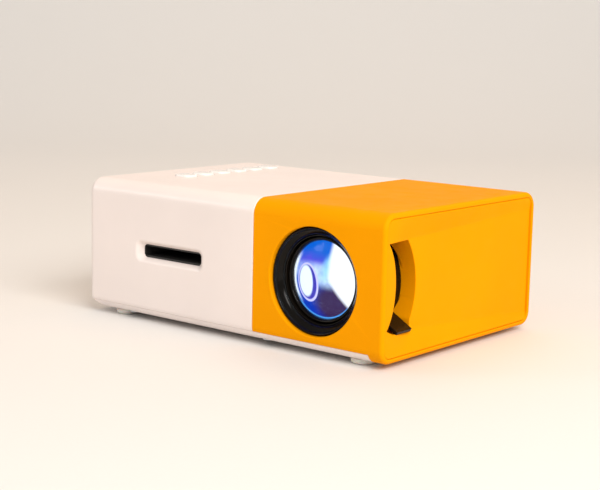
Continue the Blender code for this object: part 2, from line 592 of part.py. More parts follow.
# --- light engine ---------------------------------------------------------------------
def build_light_engine():
    x0, x1 = LENS_X - BOX_HALF_X, LENS_X + BOX_HALF_X
    z0, z1 = LENS_Z - BOX_HALF_Z, LENS_Z + BOX_HALF_Z
    box = make_object("light_box", block(x0, x1, BOX_FRONT_Y, BOX_REAR_Y, z0, z1), "dark_plastic")
    port = LED_HALF + 1.0
    ribbon_slot = block(x0 - PAST, x0 + BOX_WALL + PAST, -0.7, 0.7, RIBBON_LOW_Z - 0.8, RIBBON_TOP_Z + 1.0)
    cut(box, "light_box_room",
        block(x0 + BOX_WALL, x1 - BOX_WALL, BOX_FRONT_Y + BOX_WALL, BOX_REAR_Y - BOX_WALL,
              z0 + BOX_WALL, z1 - BOX_WALL),
        rod("Y", LENS_X, LENS_Z, BOX_PORT_R, BOX_FRONT_Y - PAST, BOX_FRONT_Y + BOX_WALL + PAST, 32),
        rounded_prism("Y", LENS_X - port, LENS_X + port, LENS_Z - port, LENS_Z + port, 0.5,
                      BOX_REAR_Y - BOX_WALL - PAST, BOX_REAR_Y + PAST, 2),
        ribbon_slot)
    half_x, half_z = BOX_HALF_X - BOX_WALL - GAP, BOX_HALF_Z - BOX_WALL - GAP
    for name, y, finish in (("fresnel_lens", FRESNEL_Y, "glass"), ("lcd_panel", PICTURE_Y, "dark_plastic")):
        sheet = block(LENS_X - half_x, LENS_X + half_x, y, y + SHEET_THICK, LENS_Z - half_z, LENS_Z + half_z)
        make_object(name, sheet, finish)
    condenser = [(0.0, 4.0), (5.0, 4.6), (9.0, 6.6), (11.2, 8.4), (half_z, 8.4), (half_z, 9.8), (0.0, 9.8)]
    make_object("condenser_lens", turned("Y", LENS_X, LENS_Z, condenser, 32), "glass")
    chip = rounded_prism("Y", LENS_X - LED_HALF, LENS_X + LED_HALF, LENS_Z - LED_HALF,
                         LENS_Z + LED_HALF, 1.0, BOX_REAR_Y - 1.6, BOX_REAR_Y, 3)
    make_object("led_chip", chip, "lamp_yellow")
    led_board = block(LENS_X - 14.0, LENS_X + 14.0, BOX_REAR_Y + GAP, BOX_REAR_Y + 1.7,
                      LENS_Z - 13.0, LENS_Z + 13.0)
    make_object("led_board", led_board, "board_green")
    sink_y = BOX_REAR_Y + 2.0
    sink = make_object("heat_sink", block(x0 + 1.0, x1 - 1.0, sink_y, SINK_REAR_Y, z0, z1), "aluminium")
    cut(sink, "fin_gap",
        *[block(x - FIN_GAP / 2, x + FIN_GAP / 2, sink_y + 3.0, SINK_REAR_Y + PAST, z0 - PAST, z1 + PAST)
          for x in rows_about(LENS_X, FIN_PITCH, 7)])


def build_fan():
    half = FAN_SIDE / 2
    rear = FAN_FRONT_Y + FAN_DEPTH
    frame = make_object("fan_frame", rounded_prism("Y", LENS_X - half, LENS_X + half, LENS_Z - half,
                                                   LENS_Z + half, 3.0, FAN_FRONT_Y, rear, 3),
                        "black_plastic")
    bore = rod("Y", LENS_X, LENS_Z, FAN_BORE_R, FAN_FRONT_Y - PAST, rear - 1.4, LATHE_STEPS)
    cut(frame, "fan_bore", bore)
    outer_r, inner_r = FAN_BORE_R - 0.8, HUB_R - 1.9
    windows = []
    for i in range(4):
        start, end = math.radians(90 * i + 10), math.radians(90 * i + 80)
        angles = [start + (end - start) * step / 6 for step in range(7)]
        outline = [(LENS_X + outer_r * math.cos(a), LENS_Z + outer_r * math.sin(a)) for a in angles]
        outline += [(LENS_X + inner_r * math.cos(a), LENS_Z + inner_r * math.sin(a))
                    for a in reversed(angles)]
        windows.append(prism("Y", outline, rear - 3.0, rear + PAST))
    cut(frame, "fan_window", *windows)

    low, high = FAN_FRONT_Y + 0.6, rear - 2.0
    hub = [(0.0, low), (HUB_R - 0.8, low), (HUB_R, low + 0.8), (HUB_R, high), (0.0, high)]
    rotor = make_object("fan_rotor", turned("Y", LENS_X, LENS_Z, hub, 32), "black_plastic",
                        (LENS_X, FAN_FRONT_Y + FAN_DEPTH / 2, LENS_Z))
    blades = []
    for i in range(BLADE_COUNT):
        turn = 2 * math.pi * i / BLADE_COUNT
        loops = []
        for radius in (HUB_R - 0.8, (HUB_R + BLADE_TIP_R) / 2, BLADE_TIP_R):
            loop = []
            for along, sweep, thick in ((low + 0.8, -BLADE_SWEEP, 0.0), (high - 0.8, BLADE_SWEEP, 0.0),
                                        (high - 0.8, BLADE_SWEEP, BLADE_THICK),
                                        (low + 0.8, -BLADE_SWEEP, BLADE_THICK)):
                angle = turn + sweep + thick / radius
                loop.append((LENS_X + radius * math.cos(angle), along, LENS_Z + radius * math.sin(angle)))
            loops.append(loop)
        blades.append(loft(loops))
    join(rotor, "fan_blade", *blades)


# --- boards, sockets, keys --------------------------------------------------------------
def key_rows():
    return [KEY_FIRST_Y + KEY_PITCH * i for i in range(KEY_COUNT)]


def build_main_board():
    outline = rounded_prism("Z", -50.0, 11.4, -36.0, 38.6, 1.0, BOARD_Z, BOARD_TOP, 2)
    board = make_object("main_board", outline, "board_green")
    join(board, "ribbon_connector", block(4.0, 9.8, -1.8, 1.8, BOARD_TOP - 0.5, RIBBON_TOP_Z + 0.3))
    low, high = BOARD_Z - PAST, BOARD_TOP + PAST
    cut(board, "board_hole", *[rod("Z", x, y, SCREW_HOLE_R, low, high, 12) for x, y in POST_PLACES])
    # Notches clear the cover bosses.
    cut(board, "boss_notch",
        *[rod("Z", x, y, SCREW_BOSS_R + 0.8, low, high, 12) for x, y in SCREW_PLACES if x < SPLIT_X])
    chip = rounded_prism("Z", -22.0, -8.0, 0.0, 14.0, 0.4, SOCKET_Z, SOCKET_Z + 1.6, 2)
    make_object("main_chip", chip, "dark_plastic")


def build_sockets():
    past = HALF_Y + PAST
    for name, (x, width, height) in SOCKET_SIZES.items():
        low, high = SOCKET_Z, SOCKET_Z + height
        centre = (low + high) / 2
        finish = "steel" if name in ("usb_socket", "hdmi_socket") else "dark_plastic"
        shell = rounded_prism("Y", x - width / 2, x + width / 2, low, high, 0.5,
                              SOCKET_FRONT_Y, SOCKET_MOUTH_Y, 2)
        body = make_object(name, shell, finish)
        if name == "usb_socket":
            room = block(x - 6.3, x + 6.3, SOCKET_FLOOR_Y, past, centre - 2.7, centre + 2.7)
            tongue = block(x - 5.4, x + 5.4, SOCKET_FLOOR_Y - 0.6, SOCKET_MOUTH_Y - 1.2,
                           centre + 1.0, centre + 2.2)
        elif name == "hdmi_socket":
            outline = [(x - 7.0, centre + 2.2), (x - 7.0, centre - 0.4), (x - 5.4, centre - 2.2),
                       (x + 5.4, centre - 2.2), (x + 7.0, centre - 0.4), (x + 7.0, centre + 2.2)]
            room = prism("Y", outline, SOCKET_FLOOR_Y, past)
            tongue = block(x - 5.6, x + 5.6, SOCKET_FLOOR_Y - 0.6, SOCKET_MOUTH_Y - 1.2,
                           centre + 0.5, centre + 1.3)
        elif name == "dc_socket":
            room = rod("Y", x, centre, 3.0, SOCKET_FLOOR_Y, past, 16)
            tongue = rod("Y", x, centre, 0.8, SOCKET_FLOOR_Y - 0.6, SOCKET_MOUTH_Y - 1.0, 8)
        else:
            room = rod("Y", x, centre, 1.9, SOCKET_FLOOR_Y, past, 12)
            tongue = None
        cut(body, f"{name}_room", room)
        if tongue:
            join(body, f"{name}_tongue", tongue)

    half_x = CARD_WIDTH / 2
    card = make_object("card_socket",
                       block(CARD_X - half_x - 1.3, CARD_X + half_x + 1.3, -40.2, -14.0, SOCKET_Z, 27.8),
                       "steel")
    cut(card, "card_room",
        block(CARD_X - half_x, CARD_X + half_x, -HALF_Y, -16.0, CARD_Z - 1.6, CARD_Z + 1.6))


def build_receiver():
    window = rounded_prism("Y", IR_LOW[0], IR_HIGH[0], IR_LOW[1], IR_HIGH[1], 1.2,
                           HALF_Y - WALL - 0.6, HALF_Y - 0.1, 3)
    make_object("ir_window", window, "black_plastic")
    body = make_object("ir_receiver", rounded_prism("Y", -51.6, -48.4, 31.0, 38.0, 0.5, 36.5, 39.6, 2),
                       "dark_plastic")
    join(body, "receiver_lead", *[block(x - 0.3, x + 0.3, 37.6, 38.2, SOCKET_Z, 32.0)
                                  for x in (-49.6, -48.8)])


def build_keys():
    half_x, half_y = KEY_SIZE_X / 2, KEY_SIZE_Y / 2
    for number, y in enumerate(key_rows(), 1):
        loops = []
        flange_top = KEY_FLANGE_Z + KEY_FLANGE_THICK
        for inset, z in ((-0.5, KEY_FLANGE_Z), (-0.5, flange_top), (0.0, flange_top),
                         (0.0, KEY_TOP_Z - 0.5), (0.15, KEY_TOP_Z - 0.2), (0.6, KEY_TOP_Z)):
            outline = rounded_outline(KEY_X - half_x + inset, KEY_X + half_x - inset,
                                      y - half_y + inset, y + half_y - inset, 2.2 - min(inset, 0.6), 2)
            loops.append([(u, v, z) for u, v in outline])
        make_object(f"key_{number}", loft(loops), "white_plastic", (KEY_X, y, KEY_FLANGE_Z))
    rows = key_rows()
    board_top = KEY_FLANGE_Z - 1.2
    board = rounded_prism("Z", KEY_X - 5.0, KEY_X + 9.6, rows[0] - 5.0, rows[-1] + 5.0, 1.0,
                          board_top - BOARD_THICK, board_top, 2)
    make_object("key_board", board, "board_green")


def build_speaker():
    x0, x1 = -HALF_X + WALL + GAP, -52.6
    frame = [(SPEAKER_R, x0), (SPEAKER_R, x0 + 1.4), (SPEAKER_R - 1.5, x0 + 2.0), (7.5, x1 - 3.0), (7.5, x1),
             (2.0, x1), (2.0, x1 - 1.6), (6.3, x1 - 3.0), (SPEAKER_R - 2.0, x0 + 1.2), (SPEAKER_R - 2.0, x0)]
    make_object("speaker_frame", turned("X", 0.0, SPEAKER_Z, frame, 32), "steel")
    cone = [(0.0, x1 - 4.4), (3.0, x1 - 4.6), (SPEAKER_R - 2.6, x0 + 0.3), (SPEAKER_R - 2.4, x0 + 0.9),
            (5.2, x1 - 3.4), (0.0, x1 - 3.4)]
    make_object("speaker_cone", turned("X", 0.0, SPEAKER_Z, cone, 32), "paper_grey")


def build_hardware():
    insert = [(2.9, LOW_Z + 0.1), (4.2, LOW_Z + 0.1), (4.2, 9.0), (2.9, 9.0)]
    make_object("tripod_insert", turned("Z", 0.0, 0.0, insert, 24), "brass")
    for number, (x, y) in enumerate(SCREW_PLACES, 1):
        screw(f"cover_screw_{number}", x, y, LOW_Z + 0.05, 0.55, 2.2, 1.0, 10.4)
    for number, (x, y) in enumerate(POST_PLACES, 1):
        screw(f"board_screw_{number}", x, y, BOARD_TOP + GAP + 0.8, -0.8, 2.1, 0.8, BOARD_Z - 5.0)


def screw(name, x, y, head_z, head_height, head_r, shank_r, tip_z):
    """Screw along Z, from the outer face of its head to its tip."""
    profile = [(0.0, head_z), (head_r, head_z), (head_r, head_z + head_height),
               (shank_r, head_z + head_height), (shank_r, tip_z), (0.0, tip_z)]
    make_object(name, turned("Z", x, y, profile, 10), "steel")


def build_wiring():
    ribbon_x = (20.5, 18.6, 15.4, 12.4, 10.2)
    ribbon_y = (0.0, 0.0, 0.9, 0.0, 0.0)
    outline = [(x, y - 0.12) for x, y in zip(ribbon_x, ribbon_y)]
    outline += [(x, y + 0.12) for x, y in reversed(list(zip(ribbon_x, ribbon_y)))]
    make_object("lcd_ribbon", prism("Z", outline, RIBBON_LOW_Z, RIBBON_TOP_Z), "film_orange")
    fan_route = ((18.2, 33.0, 30.0), (16.4, 32.6, 30.2), (13.8, 31.0, 28.0), (11.4, 26.0, 24.2),
                 (9.5, 22.5, 22.8))
    tube("fan_lead", "black_plastic", fan_route, 0.7)
    speaker_route = ((-51.7, 3.6, 25.0), (-50.4, 3.6, 25.2), (-48.6, 2.4, 24.4), (-47.0, 0.5, 22.9),
                     (-44.4, -1.0, 22.3))
    tube("speaker_lead", "black_plastic", speaker_route, 0.6)


def build_projector():
    clear_scene()
    build_upper_cover()
    build_right_cover()
    build_side_panel()
    build_bottom_cover()
    build_feet()
    build_lens()
    build_light_engine()
    build_fan()
    build_main_board()
    build_sockets()
    build_receiver()
    build_keys()
    build_speaker()
    build_hardware()
    build_wiring()


build_projector()
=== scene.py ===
"""Looks of the palm-size home projector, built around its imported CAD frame.

Lengths are in millimetres in the row frame (+X to the slot end, +Y from lens to back,
+Z up); MM turns them into metres when a mesh is made.
"""

import json
import math

import bmesh
import bpy
from mathutils import Matrix, Vector


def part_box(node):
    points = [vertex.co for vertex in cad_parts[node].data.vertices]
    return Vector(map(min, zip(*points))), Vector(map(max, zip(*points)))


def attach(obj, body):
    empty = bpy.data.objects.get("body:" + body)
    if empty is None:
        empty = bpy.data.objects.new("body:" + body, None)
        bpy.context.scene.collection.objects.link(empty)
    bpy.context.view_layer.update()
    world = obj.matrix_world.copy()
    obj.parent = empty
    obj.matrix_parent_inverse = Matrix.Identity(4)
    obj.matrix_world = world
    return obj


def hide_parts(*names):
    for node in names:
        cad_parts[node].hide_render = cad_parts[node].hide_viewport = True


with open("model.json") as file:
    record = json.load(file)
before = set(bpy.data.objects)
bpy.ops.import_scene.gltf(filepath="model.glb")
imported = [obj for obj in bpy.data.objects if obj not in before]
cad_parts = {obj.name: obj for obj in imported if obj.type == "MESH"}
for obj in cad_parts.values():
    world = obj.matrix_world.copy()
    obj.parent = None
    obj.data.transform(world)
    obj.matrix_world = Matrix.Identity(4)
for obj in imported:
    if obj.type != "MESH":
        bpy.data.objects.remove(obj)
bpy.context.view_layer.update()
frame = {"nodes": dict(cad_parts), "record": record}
MM = 0.001


def box_mm(node):
    """Lowest and highest corner of a CAD node, in millimetres."""
    low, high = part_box(node)
    return low / MM, high / MM


# --- places read from the frame ---------------------------------------------------
WHITE_LOW, WHITE_HIGH = box_mm("upper_cover")
YELLOW_LOW, YELLOW_HIGH = box_mm("right_cover")
TRAY_HIGH = box_mm("bottom_cover")[1]
PANEL_LOW, PANEL_HIGH = box_mm("side_panel")
PANEL_FRONT_SHIFT = 0.75    # the panel starts this far in front of the CAD panel
PANEL_LOW.y -= PANEL_FRONT_SHIFT
BEZEL_LOW, BEZEL_HIGH = box_mm("lens_bezel")
GLASS_LOW, GLASS_HIGH = box_mm("front_lens")
BARREL_LOW, BARREL_HIGH = box_mm("lens_barrel")
RING_LOW, RING_HIGH = box_mm("focus_ring")
LEFT_X = WHITE_LOW.x
RIGHT_X = YELLOW_HIGH.x
HALF_Y = WHITE_HIGH.y
TOP_Z = WHITE_HIGH.z
SEAM_Z = WHITE_LOW.z
LOW_Z = YELLOW_LOW.z
SEAM_X = (WHITE_HIGH.x + YELLOW_LOW.x) / 2
RIM_X = TRAY_HIGH.x + 0.1
LENS_X = (GLASS_LOW.x + GLASS_HIGH.x) / 2
LENS_Z = (GLASS_LOW.z + GLASS_HIGH.z) / 2
GLASS_R = (GLASS_HIGH.x - GLASS_LOW.x) / 2
BEZEL_R = (BEZEL_HIGH.x - BEZEL_LOW.x) / 2
BARREL_R = (BARREL_HIGH.x - BARREL_LOW.x) / 2

# --- finish dimensions --------------------------------------------------------------
WALL = 2.0
LONG_ROUND = 5.2
LEFT_ROUND = 2.6
RIGHT_ROUND = 1.3
LOW_ROUND = 4.5
PANEL_ROUND = 3.2
PANEL_THICK = 3.6
RIM_GAP = 0.10
SEAM_GAP = 0.04
WHEEL_R = 19.9
WHEEL_REAR_Y = -24.1
# Known fault: the window's centre is above the wheel's axis, so the wheel overlaps its lower
# wall. The wheel's rear cone also overlaps the channel wall behind the window.
WHEEL_WINDOW_R = 20.3
WHEEL_WINDOW_Z = 24.6
WHEEL_GAP = 0.3
BARREL_GAP = 2.0
CUT_START_Y = -45.0
CORNER_STEPS = 14
LATHE_STEPS = 128
SLOT_FRONT_Y = -35.45
SLOT_FRONT_R = 21.6
SLOT_FRONT_MIDDLE_Z = 25.0
SLOT_REAR_Y = -23.45
SLOT_REAR_R = 22.6
SLOT_REAR_MIDDLE_Z = 23.9
SLOT_TOP_Z = 37.8
SLOT_LOW_FRONT_Z = 12.0
SLOT_LOW_REAR_Z = 9.6
SLOT_ARC_END_Z = 13.0
SLOT_LOW_BEND = (-36.5, 10.4)
CHANNEL_FRONT_Y = -32.6
CHANNEL_INNER_X = 50.0
CHANNEL_WALL = 1.5
LAND_X = 62.55
PANEL_EDGE_X = 62.9
LAND_END_Y = -38.5
BAND_FRONT_X = 61.0
BAND_REAR_X = 62.3
CREASE_LOW_Z = 10.3
CREASE_TOP_Z = 38.1
CREASE_REAR_DROP = 4.0
CREASE_REAR_RISE = 3.1
PANEL_EDGE_STEPS = (0.0, 0.03, 0.1, 0.22, 0.38, 0.55)
INSERT_HOLE_R = 4.5
TRAY_CUT_TOP_Z = 6.0


# --- mesh helpers -----------------------------------------------------------------
def to_axis(axis, along, u, v):
    return {"X": (along, u, v), "Y": (u, along, v), "Z": (u, v, along)}[axis]


def rounded_outline(u0, u1, v0, v1, radius, steps=6):
    """Rectangle with round corners; radius is one value or one per corner."""
    radii = radius if isinstance(radius, tuple) else (radius,) * 4
    corners = ((u1, v1, -1, -1), (u0, v1, 1, -1), (u0, v0, 1, 1), (u1, v0, -1, 1))
    points = []
    for index, ((u, v, du, dv), r) in enumerate(zip(corners, radii)):
        for step in range(steps + 1):
            angle = math.pi / 2 * (index + step / steps)
            points.append((u + du * r + r * math.cos(angle), v + dv * r + r * math.sin(angle)))
    return points


def loft(loops):
    """Closed surface through loops of points that have equal counts."""
    shape = bmesh.new()
    rings = [[shape.verts.new(point) for point in loop] for loop in loops]
    count = len(rings[0])
    for ring, following in zip(rings, rings[1:]):
        for i in range(count):
            j = (i + 1) % count
            shape.faces.new((ring[i], ring[j], following[j], following[i]))
    shape.faces.new(list(reversed(rings[0])))
    shape.faces.new(rings[-1])
    return shape


def prism(axis, outline, low, high):
    return loft([[to_axis(axis, along, u, v) for u, v in outline] for along in (low, high)])


def block(x0, x1, y0, y1, z0, z1):
    return prism("Z", [(x0, y0), (x1, y0), (x1, y1), (x0, y1)], z0, z1)


def circle_points(u, v, radius, steps):
    return [(u + radius * math.cos(2 * math.pi * i / steps),
             v + radius * math.sin(2 * math.pi * i / steps)) for i in range(steps)]


def turned(axis, u, v, profile, steps=LATHE_STEPS):
    """Turn a profile of (radius, along) points; one that leaves radius 0 closes there."""
    shape = bmesh.new()
    rings = []
    for radius, along in profile:
        points = [(u, v)] if radius == 0.0 else circle_points(u, v, radius, steps)
        rings.append([shape.verts.new(to_axis(axis, along, *point)) for point in points])
    pairs = list(zip(rings, rings[1:]))
    if profile[0][0] != 0.0:
        pairs.append((rings[-1], rings[0]))
    for first, second in pairs:
        for i in range(steps):
            j = (i + 1) % steps
            corners = [first[i % len(first)], first[j % len(first)],
                       second[j % len(second)], second[i % len(second)]]
            shape.faces.new(list(dict.fromkeys(corners)))
    return shape


def fillet(centre_r, centre_along, radius, start_deg, end_deg, steps=6):
    """Profile points (radius, along) on a circle, for turned shapes."""
    points = []
    for step in range(steps + 1):
        angle = math.radians(start_deg + (end_deg - start_deg) * step / steps)
        points.append((centre_r + radius * math.cos(angle), centre_along + radius * math.sin(angle)))
    return points


def grown(outline, amount):
    """Move an outline of (u, v) points outwards by amount, along its own normals."""
    area = sum(a[0] * b[1] - b[0] * a[1] for a, b in zip(outline, outline[1:] + outline[:1]))
    sign = 1.0 if area > 0 else -1.0
    result = []
    for before, here, after in zip(outline[-1:] + outline[:-1], outline, outline[1:] + outline[:1]):
        first = Vector((here[1] - before[1], before[0] - here[0])).normalized()
        second = Vector((after[1] - here[1], here[0] - after[0])).normalized()
        bisector = (first + second).normalized()
        reach = sign * amount / max(0.5, bisector.dot(first))
        result.append((here[0] + bisector.x * reach, here[1] + bisector.y * reach))
    return result


def lipped_cutter(axis, outline, surface, inward, depth, lip, steps=5):
    """Cutter for a hole whose outer edge is rounded by lip; inward is the sign of the way in."""
    loops = [(surface - inward * 0.5, lip)]
    for step in range(steps + 1):
        angle = math.pi / 2 * step / steps
        loops.append((surface + inward * lip * (1 - math.cos(angle)), lip * (1 - math.sin(angle))))
    loops.append((surface + inward * depth, 0.0))
    return loft([[to_axis(axis, along, u, v) for u, v in grown(outline, grow)] for along, grow in loops])


def as_object(name, shape):
    bmesh.ops.recalc_face_normals(shape, faces=shape.faces)
    bmesh.ops.transform(shape, matrix=Matrix.Scale(MM, 4), verts=shape.verts)
    mesh = bpy.data.meshes.new(name)
    shape.to_mesh(mesh)
    shape.free()
    item = bpy.data.objects.new(name, mesh)
    bpy.context.scene.collection.objects.link(item)
    return item


def settle(item):
    """Apply every modifier, so that the piece is its final mesh."""
    bpy.context.view_layer.update()
    graph = bpy.context.evaluated_depsgraph_get()
    final = bpy.data.meshes.new_from_object(item.evaluated_get(graph))
    item.modifiers.clear()
    item.data = final
    return item


def carve(item, shapes, operation="DIFFERENCE"):
    """Cut each bmesh from item, or weld it on."""
    for index, shape in enumerate(shapes):
        tool = as_object(f"{item.name}_tool_{index}", shape)
        modifier = item.modifiers.new("carve", "BOOLEAN")
        modifier.operation = operation
        modifier.solver = "EXACT"
        modifier.object = tool
        settle(item)
        bpy.data.objects.remove(tool, do_unlink=True)
    return item


def piece(name, item_or_shape, finish, body, nodes=(), sharp_deg=28.0):
    """Finish a piece: shading, material, and its place in the frame."""
    item = item_or_shape if isinstance(item_or_shape, bpy.types.Object) else as_object(name, item_or_shape)
    item.name = name
    item.data.shade_smooth()
    item.data.set_sharp_from_angle(angle=math.radians(sharp_deg))
    weighted = item.modifiers.new("weighted", "WEIGHTED_NORMAL")
    weighted.keep_sharp = True
    weighted.weight = 90
    settle(item)
    item.data.materials.clear()
    item.data.materials.append(finish)
    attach(item, body)
    if nodes:
        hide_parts(*nodes)
    return item


# --- materials ----------------------------------------------------------------------
class Finish:
    """A node material in the making: a Principled shader and short calls that feed it."""

    def __init__(self, name, colour, roughness, metallic=0.0, ior=1.46):
        self.material = bpy.data.materials.new(name)
        self.material.use_nodes = True
        self.tree = self.material.node_tree
        self.shader = self.tree.nodes["Principled BSDF"]
        self.set("Base Color", (*colour, 1.0))
        self.set("Roughness", roughness)
        self.set("Metallic", metallic)
        self.set("IOR", ior)
        self.place = self.node("ShaderNodeTexCoord").outputs["Object"]

    def set(self, socket, value):
        self.shader.inputs[socket].default_value = value
        return self

    def node(self, kind, **values):
        made = self.tree.nodes.new(kind)
        for key, value in values.items():
            if hasattr(made, key):
                setattr(made, key, value)
            else:
                made.inputs[key.replace("_", " ")].default_value = value
        return made

    def link(self, source, target):
        self.tree.links.new(source, target)

    def noise(self, scale, detail=3.0, stretch=(1.0, 1.0, 1.0), roughness=0.5):
        mapping = self.node("ShaderNodeMapping")
        mapping.inputs["Scale"].default_value = stretch
        texture = self.node("ShaderNodeTexNoise", Scale=scale, Detail=detail, Roughness=roughness)
        self.link(self.place, mapping.inputs["Vector"])
        self.link(mapping.outputs["Vector"], texture.inputs["Vector"])
        return texture.outputs["Fac"]

    def spread(self, source, low, high, start=0.0, end=1.0):
        """Map source from start..end to low..high."""
        ranged = self.node("ShaderNodeMapRange")
        for socket, value in zip(("From Min", "From Max", "To Min", "To Max"), (start, end, low, high)):
            ranged.inputs[socket].default_value = value
        self.link(source, ranged.inputs["Value"])
        return ranged.outputs["Result"]

    def smooth(self, source, low, high, start, end):
        """Like spread, with a soft start and end; below start the result is low."""
        result = self.spread(source, low, high, start, end)
        result.node.interpolation_type = "SMOOTHSTEP"
        return result

    def math(self, operation, first, second=0.0, third=0.0):
        made = self.node("ShaderNodeMath", operation=operation)
        for socket, value in zip(made.inputs, (first, second, third)):
            if isinstance(value, (int, float)):
                socket.default_value = value
            else:
                self.link(value, socket)
        return made.outputs["Value"]

    def mix(self, factor, first, second):
        """Blend two colours, each a socket or three numbers."""
        made = self.node("ShaderNodeMix", data_type="RGBA")
        self.link(factor, made.inputs["Factor"])
        for socket, value in ((made.inputs[6], first), (made.inputs[7], second)):
            if isinstance(value, tuple):
                socket.default_value = (*value, 1.0)
            else:
                self.link(value, socket)
        return made.outputs[2]

    def feed(self, source, socket):
        self.link(source, self.shader.inputs[socket])
        return self

    def bump(self, source, strength, distance_mm):
        made = self.node("ShaderNodeBump", Strength=strength, Distance=distance_mm * MM)
        self.link(source, made.inputs["Height"])
        self.link(made.outputs["Normal"], self.shader.inputs["Normal"])

    def edge_wear_and_sheen(self, base, lighter, strength=0.35):
        """Lighten the convex edges of a colour a little: a painted edge highlight, with a little wear."""
        edge = self.node("ShaderNodeNewGeometry").outputs["Pointiness"]
        factor = self.spread(edge, 0.0, strength, 0.51, 0.60)
        return self.mix(factor, base, lighter)


def shaded(colour, factor):
    return tuple(min(1.0, channel * factor) for channel in colour)


def moulded_plastic(name, colour, roughness, grain=0.02, tint=0.06, coat=0.0, specular=0.5):
    """Injection-moulded plastic: fine spark-eroded grain, slow colour drift, edges lightened by a painted
    highlight and a little wear.
    """
    finish = Finish(name, colour, roughness)
    drift = finish.noise(28.0, 4.0)
    base = finish.mix(finish.spread(drift, 0.0, 1.0, 0.3, 0.7), shaded(colour, 1.0 - tint), colour)
    # convex edges lightened: painted edge highlight, with a little wear
    finish.feed(finish.edge_wear_and_sheen(base, shaded(colour, 1.12)), "Base Color")
    texture = finish.noise(5200.0, 2.0)
    smear = finish.noise(160.0, 3.0)
    rough = finish.math("ADD", finish.spread(texture, -0.04, 0.04),
                        finish.spread(smear, roughness - 0.05, roughness + 0.06, 0.3, 0.7))
    finish.feed(rough, "Roughness")
    finish.bump(texture, 0.35, grain)
    finish.set("Specular IOR Level", specular)
    if coat:
        finish.set("Coat Weight", coat).set("Coat Roughness", 0.12)
    return finish.material


def glossy_black(name):
    """Polished black plastic with hairline swirls and a little dust."""
    colour = (0.004, 0.003, 0.002)
    finish = Finish(name, colour, 0.2, ior=1.42)
    finish.set("Specular IOR Level", 0.20)
    swirl = finish.noise(900.0, 2.0, (1.0, 6.0, 1.0))
    dust = finish.noise(7000.0, 1.0)
    speck = finish.spread(dust, 0.0, 0.5, 0.73, 0.80)
    # convex edges lightened: painted edge highlight, with a little wear
    base = finish.edge_wear_and_sheen(colour, (0.010, 0.007, 0.005), 0.5)
    finish.feed(finish.mix(speck, base, (0.045, 0.040, 0.036)), "Base Color")
    finish.feed(finish.spread(swirl, 0.12, 0.22, 0.3, 0.7), "Roughness")
    finish.bump(swirl, 0.10, 0.01)
    return finish.material


def matt_black(name):
    colour = (0.022, 0.021, 0.021)
    finish = Finish(name, colour, 0.5)
    texture = finish.noise(3600.0, 3.0)
    base = finish.mix(texture, shaded(colour, 0.6), shaded(colour, 1.3))
    # convex edges lightened: painted edge highlight, with a little wear
    finish.feed(finish.edge_wear_and_sheen(base, (0.06, 0.058, 0.055)), "Base Color")
    finish.feed(finish.spread(texture, 0.40, 0.62), "Roughness")
    finish.bump(texture, 0.3, 0.02)
    return finish.material


def metal(name, colour, roughness, stretch=(1.0, 1.0, 60.0)):
    """Brushed or rolled metal: long scratches and a slow stain."""
    finish = Finish(name, colour, roughness, metallic=1.0, ior=2.5)
    grain = finish.noise(700.0, 3.0, stretch)
    stain = finish.noise(60.0, 3.0)
    base = finish.mix(finish.spread(stain, 0.0, 1.0, 0.3, 0.7), shaded(colour, 0.82), colour)
    # convex edges lightened: painted edge highlight, with a little wear
    finish.feed(finish.edge_wear_and_sheen(base, shaded(colour, 1.15)), "Base Color")
    finish.feed(finish.spread(grain, roughness - 0.08, roughness + 0.12), "Roughness")
    finish.bump(grain, 0.2, 0.01)
    return finish.material


def soft_pad(name):
    """Milky silicone foot."""
    colour = (0.80, 0.76, 0.70)
    finish = Finish(name, colour, 0.38, ior=1.41)
    cloud = finish.noise(600.0, 3.0)
    finish.feed(finish.mix(cloud, shaded(colour, 0.9), colour), "Base Color")
    finish.feed(finish.spread(cloud, 0.32, 0.5), "Roughness")
    finish.set("Subsurface Weight", 0.3).set("Subsurface Scale", 0.002)
    finish.bump(cloud, 0.2, 0.02)
    return finish.material


def circuit_board(name):
    """Green solder mask over fine copper traces."""
    finish = Finish(name, (0.015, 0.13, 0.055), 0.35)
    traces = finish.node("ShaderNodeTexBrick", Scale=420.0, Mortar_Size=0.012)
    finish.link(finish.place, traces.inputs["Vector"])
    grain = finish.noise(2400.0, 2.0)
    copper = finish.mix(traces.outputs["Fac"], (0.015, 0.12, 0.05), (0.05, 0.26, 0.11))
    finish.feed(finish.mix(finish.spread(grain, 0.0, 0.25), copper, (0.01, 0.07, 0.03)), "Base Color")
    finish.feed(finish.spread(grain, 0.28, 0.45), "Roughness")
    finish.bump(traces.outputs["Fac"], 0.3, 0.03)
    return finish.material


def lamp_phosphor(name):
    finish = Finish(name, (0.95, 0.8, 0.25), 0.4)
    grain = finish.noise(1800.0, 2.0)
    finish.feed(finish.mix(grain, (0.85, 0.66, 0.12), (0.98, 0.86, 0.35)), "Base Color")
    finish.set("Emission Color", (0.75, 0.85, 1.0, 1.0)).set("Emission Strength", 2.0)
    finish.bump(grain, 0.3, 0.02)
    return finish.material


def flex_film(name):
    finish = Finish(name, (0.62, 0.22, 0.03), 0.3)
    tracks = finish.node("ShaderNodeTexWave", Scale=900.0, bands_direction="Z")
    finish.link(finish.place, tracks.inputs["Vector"])
    finish.feed(finish.mix(tracks.outputs["Fac"], (0.50, 0.16, 0.02), (0.72, 0.32, 0.08)), "Base Color")
    finish.bump(tracks.outputs["Fac"], 0.2, 0.02)
    return finish.material


def cone_paper(name):
    finish = Finish(name, (0.10, 0.10, 0.105), 0.85)
    fibre = finish.noise(2200.0, 4.0, (1.0, 3.0, 1.0))
    finish.feed(finish.mix(fibre, (0.07, 0.07, 0.075), (0.15, 0.15, 0.155)), "Base Color")
    finish.bump(fibre, 0.5, 0.05)
    return finish.material


